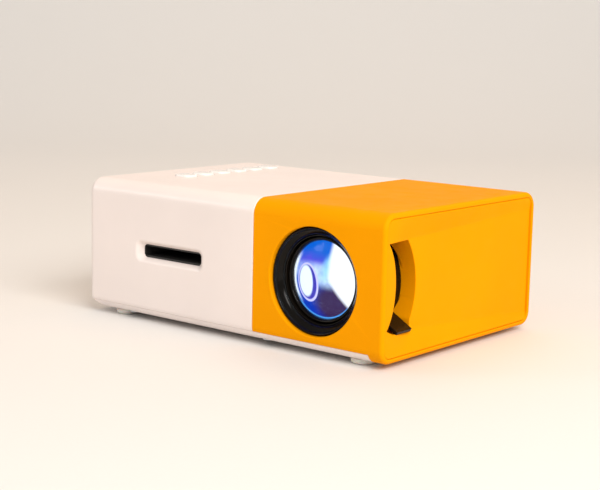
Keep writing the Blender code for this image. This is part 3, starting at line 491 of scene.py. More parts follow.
def clear_glass(name, tint=(0.86, 0.92, 1.0)):
    """Polished glass; faint smears in its roughness keep it from looking empty."""
    finish = Finish(name, tint, 0.02, ior=1.12)
    smear = finish.noise(220.0, 3.0)
    finish.feed(finish.spread(smear, 0.0, 0.05, 0.4, 0.8), "Roughness")
    finish.feed(finish.mix(smear, tint, shaded(tint, 0.96)), "Base Color")
    finish.set("Transmission Weight", 1.0)
    finish.bump(smear, 0.05, 0.01)
    return finish.material


def painted_lens_glow(name):
    """Painted light in the lens, on a disc behind the glass: a blue glow, a white beam with its crescent, a
    ring flare with a bright spot, highlights along the rim.
    """
    finish = Finish(name, (0.004, 0.006, 0.02), 0.3)
    across = finish.node("ShaderNodeMapping")
    across.inputs["Location"].default_value = (-LENS_X / GLASS_R, 0.0, -LENS_Z / GLASS_R)
    across.inputs["Scale"].default_value = (1 / (GLASS_R * MM), 0.0, 1 / (GLASS_R * MM))
    finish.link(finish.place, across.inputs["Vector"])
    split = finish.node("ShaderNodeSeparateXYZ")
    finish.link(across.outputs["Vector"], split.inputs["Vector"])
    u, v = split.outputs["X"], split.outputs["Z"]

    def oval(centre, radii, tilt_deg, edge):
        placed = finish.node("ShaderNodeMapping", vector_type="TEXTURE")
        placed.inputs["Location"].default_value = (centre[0], 0.0, centre[1])
        placed.inputs["Rotation"].default_value = (0.0, math.radians(tilt_deg), 0.0)
        placed.inputs["Scale"].default_value = (radii[0], 1.0, radii[1])
        finish.link(across.outputs["Vector"], placed.inputs["Vector"])
        size = finish.node("ShaderNodeVectorMath", operation="LENGTH")
        finish.link(placed.outputs["Vector"], size.inputs[0])
        return finish.smooth(size.outputs["Value"], 1.0, 0.0, 1.0 - edge, 1.0 + edge)

    clouds = finish.noise(260.0, 3.0)
    specks = finish.noise(2600.0, 1.0)
    ragged = finish.spread(clouds, 0.55, 1.0, 0.35, 0.6)
    glow = finish.mix(finish.smooth(v, 0.0, 1.0, -0.9, 0.7), (0.003, 0.035, 0.42), (0.004, 0.12, 0.60))
    glow = finish.mix(finish.math("MULTIPLY", oval((-0.35, 0.32), (0.55, 0.30), 0.0, 0.6), ragged),
                      glow, (0.10, 0.07, 0.66))
    glow = finish.mix(oval((0.42, -0.62), (0.62, 0.52), 20.0, 0.38), glow, (0.040, 0.016, 0.070))
    dust = finish.math("MULTIPLY", finish.smooth(specks, 0.0, 0.8, 0.66, 0.74),
                       oval((0.2, -0.5), (0.8, 0.5), 0.0, 0.3))
    glow = finish.mix(dust, glow, (0.20, 0.22, 0.45))
    beam = finish.math("MULTIPLY", oval((0.10, 0.12), (0.95, 0.25), 4.0, 0.55), ragged)
    glow = finish.mix(beam, glow, (0.66, 0.84, 1.0))
    glow = finish.mix(finish.math("MULTIPLY", oval((0.24, 0.38), (0.16, 0.36), 25.0, 0.7), ragged),
                      glow, (0.35, 0.75, 1.0))
    # painted ring flare: a lilac ring with a bright spot inside it
    outer_ring = oval((-0.44, -0.11), (0.38, 0.50), -9.0, 0.03)
    inner_ring = oval((-0.45, -0.10), (0.33, 0.45), -9.0, 0.05)
    glow = finish.mix(inner_ring, glow, (0.05, 0.04, 0.42))
    glow = finish.mix(finish.math("SUBTRACT", outer_ring, inner_ring), glow, (0.66, 0.62, 1.0))
    glow = finish.mix(oval((-0.50, -0.08), (0.25, 0.40), -4.0, 0.12), glow, (0.88, 1.0, 1.0))
    radius = finish.node("ShaderNodeVectorMath", operation="LENGTH")
    finish.link(across.outputs["Vector"], radius.inputs[0])
    near_rim = finish.smooth(radius.outputs["Value"], 0.0, 1.0, 0.86, 0.97)
    # painted highlight: a white line inside the left rim
    left_rim_highlight = finish.math("MULTIPLY", near_rim, oval((-0.95, -0.05), (0.34, 0.62), 0.0, 0.4))
    glow = finish.mix(left_rim_highlight, glow, (0.95, 1.0, 1.0))
    # painted highlight: a blue line inside the low rim
    low_rim_highlight = finish.math("MULTIPLY", finish.smooth(radius.outputs["Value"], 0.0, 1.0, 0.95, 0.98),
                          finish.smooth(v, 1.0, 0.0, -0.7, -0.3))
    glow = finish.mix(low_rim_highlight, glow, (0.08, 0.34, 0.80))
    bend = finish.math("POWER", finish.math("MAXIMUM", finish.math("SUBTRACT", 0.1, v), 0.0), 1.2)
    beyond = finish.math("SUBTRACT", finish.math("SUBTRACT", u, 0.29), finish.math("MULTIPLY", bend, 0.75))
    glow = finish.mix(finish.smooth(beyond, 0.0, 1.0, -0.13, 0.03), glow, (1.0, 1.0, 1.0))
    finish.set("Specular IOR Level", 0.1)
    finish.feed(glow, "Emission Color")
    finish.set("Emission Strength", 1.25)
    finish.bump(clouds, 0.1, 0.02)
    return finish.material


WHITE = moulded_plastic("white_shell", (0.90, 0.80, 0.76), 0.40, coat=0.12)
YELLOW = moulded_plastic("yellow_shell", (0.90, 0.335, 0.0), 0.56, specular=0.03)
KEY_WHITE = moulded_plastic("key_white", (0.92, 0.88, 0.85), 0.25, grain=0.008, coat=0.5)
BLACK = glossy_black("polished_black")
MATT = matt_black("matt_black")
FOOT = soft_pad("foot_silicone")
GLASS = clear_glass("lens_glass")
PAINTED_LENS_GLOW = painted_lens_glow("painted_lens_glow")
FINISHES = {
    "white_plastic": WHITE,
    "yellow_plastic": YELLOW,
    "black_plastic": BLACK,
    "dark_plastic": MATT,
    "rubber": FOOT,
    "glass": GLASS,
    "aluminium": metal("extruded_aluminium", (0.78, 0.79, 0.8), 0.35),
    "steel": metal("plated_steel", (0.55, 0.56, 0.58), 0.28, (40.0, 1.0, 1.0)),
    "brass": metal("turned_brass", (0.78, 0.57, 0.25), 0.28, (1.0, 1.0, 40.0)),
    "board_green": circuit_board("solder_mask"),
    "film_orange": flex_film("flex_film"),
    "lamp_yellow": lamp_phosphor("lamp_phosphor"),
    "paper_grey": cone_paper("cone_paper"),
}


SHOWN_AS = {"card_socket": MATT}


def finish_cad_nodes():
    """Every CAD node that stays gets the material of its slot, or the one in SHOWN_AS."""
    for entry in frame["record"]["subparts"]:
        item = frame["nodes"][entry["node"]]
        item.data.materials.clear()
        item.data.materials.append(SHOWN_AS.get(entry["node"], FINISHES[entry["material_slot"]]))


# --- case shells ---------------------------------------------------------------------
def case_section(x, inset, low_z, low_round):
    """Outline of the case at x, drawn in on its sides and top by inset."""
    half_y = HALF_Y - inset
    top_round = max(LONG_ROUND - inset, 0.3)
    low = low_z + (inset if low_z == LOW_Z else 0.0)
    radii = (top_round, top_round, low_round, low_round)
    outline = rounded_outline(-half_y, half_y, low, TOP_Z - inset, radii, CORNER_STEPS)
    return [(x, y, z) for y, z in outline]


def end_sections(end_x, direction, radius, low_z, low_round, skin=0.0, steps=16):
    """Sections of a rounded case end, from its flat face inwards."""
    loops = []
    for step in range(steps + 1):
        angle = math.pi / 2 * step / steps
        x = end_x - direction * (skin + radius * (1 - math.cos(angle)))
        inset = radius * (1 - math.sin(angle))
        loops.append(case_section(x, skin + inset, low_z, max(low_round - inset, 0.3)))
    return loops


def seam_sections(seam_x, direction, lip, low_z, low_round, steps=5):
    """Sections of a small rounded lip where a cover meets its neighbour at seam_x."""
    loops = []
    for step in range(steps + 1):
        angle = math.pi / 2 * step / steps
        x = seam_x - direction * lip * (1 - math.sin(angle))
        loops.append(case_section(x, lip * (1 - math.cos(angle)), low_z, low_round))
    return loops


def key_places():
    """Centres (x, y) of the keys, read from the frame."""
    places = []
    for number in range(1, 7):
        low, high = box_mm(f"key_{number}")
        places.append(((low.x + high.x) / 2, (low.y + high.y) / 2))
    return places


def hole_around(node, gap, round_mm):
    """Outline in X and Z of the hole that a socket or window stands in."""
    low, high = box_mm(node)
    return rounded_outline(low.x - gap, high.x + gap, low.z - gap, high.z + gap, round_mm, 6)


KEY_CAP_X = 7.4
KEY_CAP_Y = 6.2
CARD_LOW, CARD_HIGH = box_mm("card_socket")
CARD_X = (CARD_LOW.x + CARD_HIGH.x) / 2
CARD_Z = 24.15
CARD_WIDTH = 26.2
CARD_HEIGHT = 4.4


def card_funnel():
    """Cutter of the front slot: a rounded rim, a sloping lead-in, then a straight throat."""
    depths = ((-0.6, 2.8, 2.0), (0.0, 2.6, 1.8), (0.1, 2.1, 1.35), (0.35, 1.6, 0.95), (1.5, 0.35, 0.2),
              (1.75, 0.08, 0.05), (2.0, 0.0, 0.0), (3.0, 0.0, 0.0))
    loops = []
    for depth, wide, tall in depths:
        half_x, half_z = CARD_WIDTH / 2 + wide, CARD_HEIGHT / 2 + tall
        outline = rounded_outline(CARD_X - half_x, CARD_X + half_x, CARD_Z - half_z, CARD_Z + half_z,
                                  1.5 + tall * 0.6, 8)
        loops.append([(x, -HALF_Y + depth, z) for x, z in outline])
    return loft(loops)


def build_white_shell():
    loops = end_sections(LEFT_X, -1, LEFT_ROUND, LOW_Z, LOW_ROUND)
    loops += seam_sections(SEAM_X - SEAM_GAP, 1, 0.5, LOW_Z, LOW_ROUND)
    shell = as_object("white_shell", loft(loops))
    room = end_sections(LEFT_X, -1, LEFT_ROUND - WALL, LOW_Z - 10.0, 0.4, WALL, 8)
    room.append(case_section(SEAM_X + 5.0, WALL, LOW_Z - 10.0, 0.4))
    cutters = [loft(room), block(LEFT_X - 1.0, SEAM_X + 5.0, -50.0, 50.0, -5.0, SEAM_Z), card_funnel()]
    for x, y in key_places():
        outline = rounded_outline(x - KEY_CAP_X / 2 - 0.25, x + KEY_CAP_X / 2 + 0.25,
                                  y - KEY_CAP_Y / 2 - 0.25, y + KEY_CAP_Y / 2 + 0.25, 2.5, 6)
        cutters.append(lipped_cutter("Z", outline, TOP_Z, -1, WALL + 1.0, 0.35))
    for node in ("usb_socket", "hdmi_socket", "audio_socket", "av_socket", "dc_socket"):
        cutters.append(lipped_cutter("Y", hole_around(node, 0.3, 1.0), HALF_Y, -1, WALL + 1.0, 0.3))
    cutters.append(lipped_cutter("Y", hole_around("ir_window", 0.15, 1.5), HALF_Y, -1, WALL + 1.0, 0.25))
    speaker_low, speaker_high = box_mm("speaker_frame")
    speaker_z = (speaker_low.z + speaker_high.z) / 2
    for y, reach in ((-8.0, 6.0), (-4.0, 8.5), (0.0, 9.5), (4.0, 8.5), (8.0, 6.0)):
        outline = rounded_outline(y - 0.9, y + 0.9, speaker_z - reach, speaker_z + reach, 0.88, 6)
        cutters.append(lipped_cutter("X", outline, LEFT_X, 1, WALL + 1.0, 0.3))
    carve(shell, cutters)
    return piece("white_shell", shell, WHITE, "base", ["upper_cover"])


def build_yellow_shell():
    loops = end_sections(RIGHT_X, 1, RIGHT_ROUND, LOW_Z, LOW_ROUND)
    loops += seam_sections(SEAM_X + SEAM_GAP, -1, 0.12, LOW_Z, LOW_ROUND, 3)
    shell = as_object("yellow_shell", loft(loops))
    room = rounded_outline(-HALF_Y + WALL, HALF_Y - WALL, -8.0, TOP_Z - WALL, 5.0, 8)
    recess = rounded_outline(PANEL_LOW.y - RIM_GAP, PANEL_HIGH.y + RIM_GAP, PANEL_LOW.z - RIM_GAP,
                             PANEL_HIGH.z + RIM_GAP, PANEL_ROUND + RIM_GAP, 10)
    window = rounded_outline(PANEL_LOW.y + 1.7, PANEL_HIGH.y - 1.7, PANEL_LOW.z + 2.9,
                             PANEL_HIGH.z - 1.8, 2.0)
    plate_back = PANEL_HIGH.x - PANEL_THICK
    cutters = [
        prism("X", room, SEAM_X - 5.0, plate_back - 2.4),
        block(SEAM_X - 5.0, RIM_X + 0.1, -50.0, 50.0, -5.0, SEAM_Z),
        lipped_cutter("X", recess, RIGHT_X, -1, RIGHT_X - plate_back + 0.3, 0.3),
        prism("X", window, plate_back - 6.0, plate_back + 1.0),
        turned("Y", LENS_X, LENS_Z, [(0.0, -HALF_Y - 1.0), (BEZEL_R + 0.65, -HALF_Y - 1.0)]
               + fillet(BEZEL_R + 0.65, -HALF_Y + 0.4, 0.4, 270.0, 180.0)
               + [(BEZEL_R + 0.25, -HALF_Y + 4.0), (0.0, -HALF_Y + 4.0)]),
    ]
    for row in range(-3, 4):
        z = LENS_Z + 4.4 * row
        outline = rounded_outline(LENS_X - 14.0, LENS_X + 14.0, z - 1.1, z + 1.1, 1.08, 8)
        cutters.append(lipped_cutter("Y", outline, HALF_Y, -1, WALL + 1.0, 0.35))
    carve(shell, cutters)
    return piece("yellow_shell", shell, YELLOW, "base", ["right_cover"])


# --- side panel ------------------------------------------------------------------------
def smooth_max(a, b, width):
    blend = max(width - abs(a - b), 0.0) / width
    return max(a, b) + blend * blend * width / 4


def panel_creases(y):
    """Level of the band at y, and the heights of its two creases."""
    t = (y - SLOT_REAR_Y) / (PANEL_HIGH.y - SLOT_REAR_Y)
    if t >= 0.0:
        band = BAND_FRONT_X + (BAND_REAR_X - BAND_FRONT_X) * t
        return band, CREASE_LOW_Z - CREASE_REAR_DROP * t, CREASE_TOP_Z + CREASE_REAR_RISE * t
    fall = min(1.0, max(0.0, (y - LAND_END_Y) / (SLOT_REAR_Y - 4.0 - LAND_END_Y)))
    fall = fall * fall * (3 - 2 * fall)
    return LAND_X + (BAND_FRONT_X - LAND_X) * fall, CREASE_LOW_Z, CREASE_TOP_Z


def panel_level(y, z):
    """X of the side panel's face: a band between two facets that rise to the rim."""
    band, low, high = panel_creases(y)
    upper = band + (PANEL_EDGE_X - band) * (z - high) / (PANEL_HIGH.z - high)
    lower = band + (PANEL_EDGE_X - band) * (low - z) / (low - PANEL_LOW.z)
    face = smooth_max(band, max(upper, lower), 0.06)
    edge = min(y - PANEL_LOW.y, PANEL_HIGH.y - y, z - PANEL_LOW.z, PANEL_HIGH.z - z)
    lip = 0.4
    if edge < lip:
        face -= lip - math.sqrt(max(0.0, lip * lip - (lip - max(edge, 0.0)) ** 2))
    return face


def panel_rows(y):
    """Heights of the panel's mesh rows at y, gathered at its edges and creases."""
    band, low, high = panel_creases(y)
    near = (-0.6, -0.35, -0.15, 0.0, 0.15, 0.35, 0.6)
    rows = [PANEL_LOW.z + e for e in PANEL_EDGE_STEPS]
    rows += [PANEL_LOW.z + 0.55 + (low - 0.6 - PANEL_LOW.z - 0.55) * i / 4 for i in range(1, 4)]
    rows += [low + e for e in near]
    rows += [low + 0.6 + (high - low - 1.2) * i / 16 for i in range(1, 16)]
    rows += [high + e for e in near]
    rows += [high + 0.6 + (PANEL_HIGH.z - 0.55 - high - 0.6) * i / 4 for i in range(1, 4)]
    rows += [PANEL_HIGH.z - e for e in reversed(PANEL_EDGE_STEPS)]
    return rows


def panel_columns():
    columns = [PANEL_LOW.y + e for e in PANEL_EDGE_STEPS]
    columns += [LAND_END_Y + 0.5 * i for i in range(0, 31)]
    columns += [SLOT_REAR_Y + 2.0 * i for i in range(1, 29)]
    columns += [PANEL_HIGH.y - e for e in reversed(PANEL_EDGE_STEPS)]
    return columns


def slot_arc(rearmost_y, radius, middle_z, low_z, high_z, steps=28):
    """Points (y, z) up one of the slot's two arcs."""
    low = math.asin((low_z - middle_z) / radius)
    high = math.asin((high_z - middle_z) / radius)
    points = []
    for i in range(steps + 1):
        angle = low + (high - low) * i / steps
        points.append((rearmost_y - radius * (1 - math.cos(angle)), middle_z + radius * math.sin(angle)))
    return points


def slot_cutter():
    """Cutter of the focus slot; its rounded lip follows the face of the panel."""
    rear = slot_arc(SLOT_REAR_Y, SLOT_REAR_R, SLOT_REAR_MIDDLE_Z, SLOT_ARC_END_Z, SLOT_TOP_Z)
    front = slot_arc(SLOT_FRONT_Y, SLOT_FRONT_R, SLOT_FRONT_MIDDLE_Z, SLOT_LOW_FRONT_Z, SLOT_TOP_Z)
    outline = [(rear[0][0], SLOT_LOW_REAR_Z)] + rear + list(reversed(front)) + [SLOT_LOW_BEND]
    lip = 0.25
    loops = []
    for depth, grow in [(-2.0, lip)] + [(lip * (1 - math.cos(a)), lip * (1 - math.sin(a)))
                                        for a in (math.pi / 2 * i / 5 for i in range(6))]:
        loops.append([(panel_level(y, z) - depth, *place)
                      for (y, z), place in zip(outline, grown(outline, grow))])
    loops.append([(CHANNEL_INNER_X - 5.0, y, z) for y, z in outline])
    return loft(loops)


def build_side_panel():
    columns = [[(panel_level(y, z), y, z) for z in panel_rows(y)] for y in panel_columns()]
    back = PANEL_HIGH.x - PANEL_THICK
    shape = bmesh.new()
    grid = [[shape.verts.new(point) for point in column] for column in columns]
    for left, right in zip(grid, grid[1:]):
        for i in range(len(left) - 1):
            shape.faces.new((left[i], right[i], right[i + 1], left[i + 1]))
    border = [column[0] for column in grid] + grid[-1][1:] + [column[-1] for column in reversed(grid[:-1])]
    border += list(reversed(grid[0][1:-1]))
    behind = [shape.verts.new((back, vert.co.y, vert.co.z)) for vert in border]
    for i in range(len(border)):
        j = (i + 1) % len(border)
        shape.faces.new((border[i], border[j], behind[j], behind[i]))
    shape.faces.new(behind)
    panel = as_object("side_panel_skin", shape)
    outline = rounded_outline(PANEL_LOW.y, PANEL_HIGH.y, PANEL_LOW.z, PANEL_HIGH.z, PANEL_ROUND, 10)
    carve(panel, [prism("X", outline, back - 2.0, RIGHT_X + 5.0)], "INTERSECT")
    low, top = SLOT_LOW_REAR_Z - CHANNEL_WALL, SLOT_TOP_Z + CHANNEL_WALL
    rear = slot_arc(SLOT_REAR_Y, SLOT_REAR_R, SLOT_REAR_MIDDLE_Z, SLOT_ARC_END_Z, top - 0.8)
    channel = [(y + CHANNEL_WALL, z) for y, z in [(rear[0][0], low)] + rear]
    channel += [(CHANNEL_FRONT_Y, top), (CHANNEL_FRONT_Y, low)]
    carve(panel, [prism("X", channel, CHANNEL_INNER_X, back + 0.8)], "UNION")
    carve(panel, [
        slot_cutter(),
        prism("Y", circle_points(LENS_X, WHEEL_WINDOW_Z, WHEEL_WINDOW_R, LATHE_STEPS),
              CUT_START_Y, WHEEL_REAR_Y + WHEEL_GAP),
        prism("Y", circle_points(LENS_X, LENS_Z, BARREL_R + BARREL_GAP, LATHE_STEPS), CUT_START_Y, 0.0),
    ])
    return piece("side_panel_skin", panel, YELLOW, "base", ["side_panel"])


# --- bottom, feet, keys ------------------------------------------------------------------
def build_bottom_tray():
    top = SEAM_Z - 0.06
    first = math.acos((LOW_Z + LOW_ROUND - top + 0.15) / LOW_ROUND)
    loops = []
    for step in range(13):
        angle = first * step / 12
        loops.append((LOW_ROUND * (1 - math.sin(angle)) + 0.06, LOW_Z + LOW_ROUND * (1 - math.cos(angle))))
    edge = loops[-1][0]
    loops += [(edge + 0.02, top - 0.06), (edge + 0.14, top)]
    sections = []
    for inset, z in loops:
        outline = rounded_outline(LEFT_X + inset, TRAY_HIGH.x, -HALF_Y + inset, HALF_Y - inset,
                                  (0.6, LEFT_ROUND, LEFT_ROUND, 0.6), 12)
        sections.append([(x, y, z) for x, y in outline])
    tray = as_object("bottom_tray", loft(sections))
    cutters = []
    for row in range(12):
        y = -30.0 + 4.5 * row
        outline = rounded_outline(LENS_X - 8.0, LENS_X + 8.0, y - 1.0, y + 1.0, 0.98, 6)
        cutters.append(lipped_cutter("Z", outline, LOW_Z, 1, 3.0, 0.3))
    cutters.append(turned("Z", 0.0, 0.0, [(0.0, LOW_Z - 1.0), (INSERT_HOLE_R, LOW_Z - 1.0),
                                          (INSERT_HOLE_R, TRAY_CUT_TOP_Z), (0.0, TRAY_CUT_TOP_Z)], 64))
    for number in range(1, 5):
        low, high = box_mm(f"cover_screw_{number}")
        x, y = (low.x + high.x) / 2, (low.y + high.y) / 2
        seat = [(0.0, LOW_Z - 1.0), (2.9, LOW_Z - 1.0), (2.6, LOW_Z + 0.2), (2.6, 3.1), (1.4, 3.1)]
        seat += [(1.4, TRAY_CUT_TOP_Z), (0.0, TRAY_CUT_TOP_Z)]
        cutters.append(turned("Z", x, y, seat, 48))
    cutters.append(prism("Y", circle_points(LENS_X, LENS_Z, WHEEL_R + WHEEL_GAP, LATHE_STEPS),
                         RING_LOW.y - WHEEL_GAP, RING_HIGH.y + WHEEL_GAP))
    carve(tray, cutters)
    return piece("bottom_tray", tray, WHITE, "base", ["bottom_cover"])


def build_feet():
    for side in ("front", "rear"):
        for end in ("left", "right"):
            low, high = box_mm(f"foot_{side}_{end}")
            x, y, radius, top = (low.x + high.x) / 2, (low.y + high.y) / 2, (high.x - low.x) / 2, high.z
            profile = [(0.0, low.z)] + fillet(radius - 0.9, low.z + 0.9, 0.9, 270.0, 360.0)
            profile += fillet(radius - 0.15, top + 0.1, 0.15, 0.0, 90.0, 3) + [(0.0, top + 0.25)]
            piece(f"pad_{side}_{end}", turned("Z", x, y, profile, 64), FOOT, "base",
                  [f"foot_{side}_{end}"], 50.0)


def build_screws():
    """Cover screws, with a cross recess in the head; the CAD heads are lower and plain."""
    head_height, shaft_r, half_width, reach, depth = 1.0, 1.0, 0.35, 1.25, 0.8
    for number in range(1, 5):
        low, high = box_mm(f"cover_screw_{number}")
        x, y, radius = (low.x + high.x) / 2, (low.y + high.y) / 2, (high.x - low.x) / 2
        profile = [(0.0, low.z)] + fillet(radius - 0.3, low.z + 0.3, 0.3, 270.0, 360.0)
        profile += [(radius, low.z + head_height), (shaft_r, low.z + head_height)]
        profile += [(shaft_r, high.z), (0.0, high.z)]
        screw = as_object(f"screw_{number}", turned("Z", x, y, profile, 48))
        carve(screw, [block(x - u, x + u, y - v, y + v, low.z - 1.0, low.z + depth)
                      for u, v in ((reach, half_width), (half_width, reach))])
        piece(f"screw_{number}", screw, FINISHES["steel"], "base", [f"cover_screw_{number}"], 35.0)


def build_keys():
    for number, (x, y) in enumerate(key_places(), 1):
        low, high = box_mm(f"key_{number}")
        top = high.z
        loops = [(-0.5, low.z), (-0.5, low.z + 1.0), (0.0, low.z + 1.0), (0.0, top - 0.75)]
        loops += [(0.75 * (1 - math.cos(a)), top - 0.75 + 0.75 * math.sin(a))
                  for a in (math.pi / 2 * i / 6 for i in range(1, 6))]
        loops += [(1.4, top - 0.02), (2.4, top + 0.0)]
        sections = []
        for inset, z in loops:
            outline = rounded_outline(x - KEY_CAP_X / 2 + inset, x + KEY_CAP_X / 2 - inset,
                                      y - KEY_CAP_Y / 2 + inset, y + KEY_CAP_Y / 2 - inset,
                                      max(0.4, 2.3 - max(inset, 0.0)), 8)
            sections.append([(u, v, z) for u, v in outline])
        piece(f"key_cap_{number}", loft(sections), KEY_WHITE, f"key_{number}",
              [f"key_{number}"], 40.0)


# --- lens ----------------------------------------------------------------------------------
def dome(radius, apex, rim, steps=16):
    """Profile points (radius, along) of a spherical cap from its apex to its rim."""
    sag = rim - apex
    ball = (radius * radius + sag * sag) / (2 * sag)
    reach = math.asin(radius / ball)
    return [(ball * math.sin(reach * i / steps), apex + ball * (1 - math.cos(reach * i / steps)))
            for i in range(steps + 1)]


def build_lens():
    front = -HALF_Y
    bezel = [(BEZEL_R, front + 2.2)]
    bezel += fillet(BEZEL_R - 0.4, front + 1.7, 0.4, 0.0, -180.0, 12)
    bezel += [(BEZEL_R - 0.95, front + 2.2), (BEZEL_R - 2.1, front + 3.0), (14.25, -38.9), (14.05, -38.4)]
    bezel += fillet(13.8, -38.15, 0.18, 0.0, -90.0, 4)
    bezel += [(13.6, -38.2), (13.6, BEZEL_HIGH.y), (BEZEL_R, BEZEL_HIGH.y)]
    piece("lens_trim", turned("Y", LENS_X, LENS_Z, bezel), BLACK, "base",
          ["lens_bezel"], 35.0)

    barrel = [(GLASS_R + 0.12, -36.3), (GLASS_R + 0.2, -37.0)]
    barrel += fillet(BARREL_R - 0.5, -37.1, 0.45, 180.0, 360.0, 8)
    barrel += [(BARREL_R, -36.4), (BARREL_R, -16.0), (10.4, -16.0), (10.4, -31.3), (GLASS_R + 0.12, -31.3)]
    piece("barrel_tube", turned("Y", LENS_X, LENS_Z, barrel), BLACK, "lens_group",
          ["lens_barrel"], 35.0)

    thick = 0.5
    outer = dome(GLASS_R, GLASS_LOW.y, GLASS_LOW.y + 2.6, 20)
    inner = dome(GLASS_R - 0.15, GLASS_LOW.y + thick, GLASS_LOW.y + 2.6 + thick, 20)
    rim = outer + [(GLASS_R, GLASS_LOW.y + 2.6 + thick)] + list(reversed(inner))
    piece("lens_glass", turned("Y", LENS_X, LENS_Z, rim), GLASS, "lens_group", ["front_lens"], 50.0)

    # disc behind the glass that carries the painted lens glow; it is no lamp
    painted_glow_disc = dome(GLASS_R - 0.05, GLASS_LOW.y + thick + 0.1, GLASS_LOW.y + 2.6 + thick + 0.1, 20)
    painted_glow_disc += [(GLASS_R - 0.05, GLASS_HIGH.y), (0.0, GLASS_HIGH.y)]
    piece("painted_lens_glow", turned("Y", LENS_X, LENS_Z, painted_glow_disc), PAINTED_LENS_GLOW, "lens_group", [], 50.0)


TAB_TIP = (62.5, 10.5)
TAB_LENGTH = 12.0
TAB_FRONT_Y = -34.9
TAB_REAR_Y = -27.2
TAB_THICK = 1.2
TAB_SLOPE_DEG = 30.0


def build_focus_ring():
    front = RING_LOW.y
    profile = [(13.6, front)] + fillet(WHEEL_R - 0.4, front + 0.4, 0.4, -90.0, 0.0, 4)
    profile += fillet(WHEEL_R - 0.2, WHEEL_REAR_Y - 0.2, 0.2, 0.0, 90.0, 4) + [(13.6, RING_HIGH.y)]
    ring = as_object("focus_wheel", turned("Y", LENS_X, LENS_Z, profile))
    outline = rounded_outline(-TAB_LENGTH, 0.0, TAB_FRONT_Y, TAB_REAR_Y, 0.35, 6)
    half = TAB_THICK / 2
    blade = loft([[(u, v, z) for u, v in grown(outline, -inset)]
                  for z, inset in ((-half, 0.2), (-half + 0.06, 0.06), (-half + 0.2, 0.0),
                                   (half - 0.12, 0.0), (half - 0.04, 0.04), (half, 0.12))])
    slope = Matrix.Rotation(math.radians(TAB_SLOPE_DEG), 4, "Y")
    swing = Matrix.Translation((TAB_TIP[0], 0.0, TAB_TIP[1])) @ slope
    bmesh.ops.transform(blade, matrix=swing, verts=blade.verts)
    carve(ring, [blade], "UNION")
    piece("focus_wheel", ring, BLACK, "focus_ring", ["focus_ring"], 35.0)


# --- stage, light and camera ------------------------------------------------------------------
def build_stage():
    """Pale sweep: a floor that curves up into a wall behind the object."""
    radius, depth, height, half_width = 700.0, 600.0, 2600.0, 4000.0
    path = [(-3000.0, 0.0), (depth, 0.0)]
    for i in range(1, 25):
        angle = math.pi / 2 * i / 24
        path.append((depth + radius * math.sin(angle), radius * (1 - math.cos(angle))))
    path.append((depth + radius, height))
    shape = bmesh.new()
    rows = [[shape.verts.new((x, y, z - 0.02)) for x in (-half_width, half_width)] for y, z in path]
    for row, following in zip(rows, rows[1:]):
        shape.faces.new((row[0], row[1], following[1], following[0]))
    sweep = as_object("sweep", shape)
    sweep.data.shade_smooth()
    finish = Finish("pale_sweep", (0.80, 0.785, 0.765), 0.7)
    grain = finish.noise(900.0, 2.0)
    finish.feed(finish.mix(grain, (0.79, 0.775, 0.755), (0.81, 0.795, 0.775)), "Base Color")
    finish.bump(grain, 0.05, 0.02)
    sweep.data.materials.append(finish.material)
    turn = Matrix.Rotation(CAMERA_AZIMUTH, 4, "Z")
    sweep.data.transform(turn)


WORLD_STRENGTH = 0.45
KEY_POWER = 9.8
FILL_POWER = 1.0
TOP_POWER = 2.9
WALL_POWER = 2.2
CAMERA_AZIMUTH = math.radians(39.15)
CAMERA_ELEVATION = math.radians(9.15)
CAMERA_ROLL = math.radians(1.27)
CAMERA_DISTANCE = 467.35
CAMERA_TARGET = Vector((0.0, -4.06, 26.29))
CAMERA_LENS = 82.85


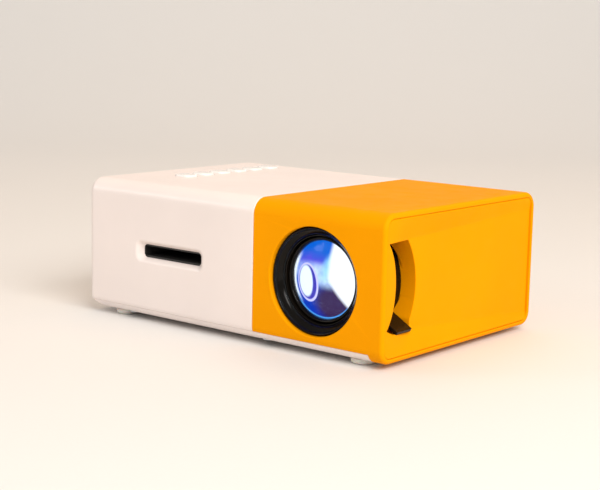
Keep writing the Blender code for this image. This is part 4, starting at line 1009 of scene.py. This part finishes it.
def build_camera():
    a, e, r = CAMERA_AZIMUTH, CAMERA_ELEVATION, CAMERA_ROLL
    back = Vector((math.sin(a) * math.cos(e), -math.cos(a) * math.cos(e), math.sin(e)))
    right = Vector((math.cos(a), math.sin(a), 0.0))
    up = back.cross(right)
    right, up = math.cos(r) * right + math.sin(r) * up, math.cos(r) * up - math.sin(r) * right
    data = bpy.data.cameras.new("camera")
    data.lens = CAMERA_LENS
    data.sensor_width = 36.0
    data.sensor_fit = "HORIZONTAL"
    camera = bpy.data.objects.new("camera", data)
    turn = Matrix((right, up, back)).transposed().to_4x4()
    camera.matrix_world = Matrix.Translation((CAMERA_TARGET + back * CAMERA_DISTANCE) * MM) @ turn
    bpy.context.scene.collection.objects.link(camera)
    bpy.context.scene.camera = camera


def area_light(name, place, target, size, power, colour=(1.0, 1.0, 1.0)):
    data = bpy.data.lights.new(name, "AREA")
    data.shape = "RECTANGLE"
    data.size, data.size_y = size[0] * MM, size[1] * MM
    data.energy = power
    data.color = colour
    light = bpy.data.objects.new(name, data)
    light.location = Vector(place) * MM
    light.rotation_euler = (Vector(target) - Vector(place)).to_track_quat("-Z", "Y").to_euler()
    bpy.context.scene.collection.objects.link(light)


def build_lights():
    world = bpy.data.worlds.new("studio")
    world.use_nodes = True
    background = world.node_tree.nodes["Background"]
    background.inputs["Color"].default_value = (1.0, 0.985, 0.96, 1.0)
    background.inputs["Strength"].default_value = WORLD_STRENGTH
    bpy.context.scene.world = world
    middle = (0.0, 0.0, 25.0)
    area_light("key_light", (750.0, -350.0, 620.0), middle, (700.0, 500.0), KEY_POWER, (1.0, 0.97, 0.93))
    area_light("fill_light", (-700.0, -650.0, 420.0), middle, (260.0, 200.0), FILL_POWER, (1.0, 0.98, 0.97))
    behind = Matrix.Rotation(CAMERA_AZIMUTH, 3, "Z")
    area_light("wall_light", behind @ Vector((0.0, 560.0, 900.0)), behind @ Vector((0.0, 1300.0, 500.0)),
               (1800.0, 300.0), WALL_POWER)
    area_light("top_light", (-50.0, 250.0, 900.0), middle, (900.0, 700.0), TOP_POWER, (1.0, 0.62, 0.32))


build_camera()
finish_cad_nodes()
build_white_shell()
build_yellow_shell()
build_side_panel()
build_bottom_tray()
build_feet()
build_screws()
build_keys()
build_lens()
build_focus_ring()
build_stage()
build_lights()
bpy.context.scene.view_settings.view_transform = "Standard"
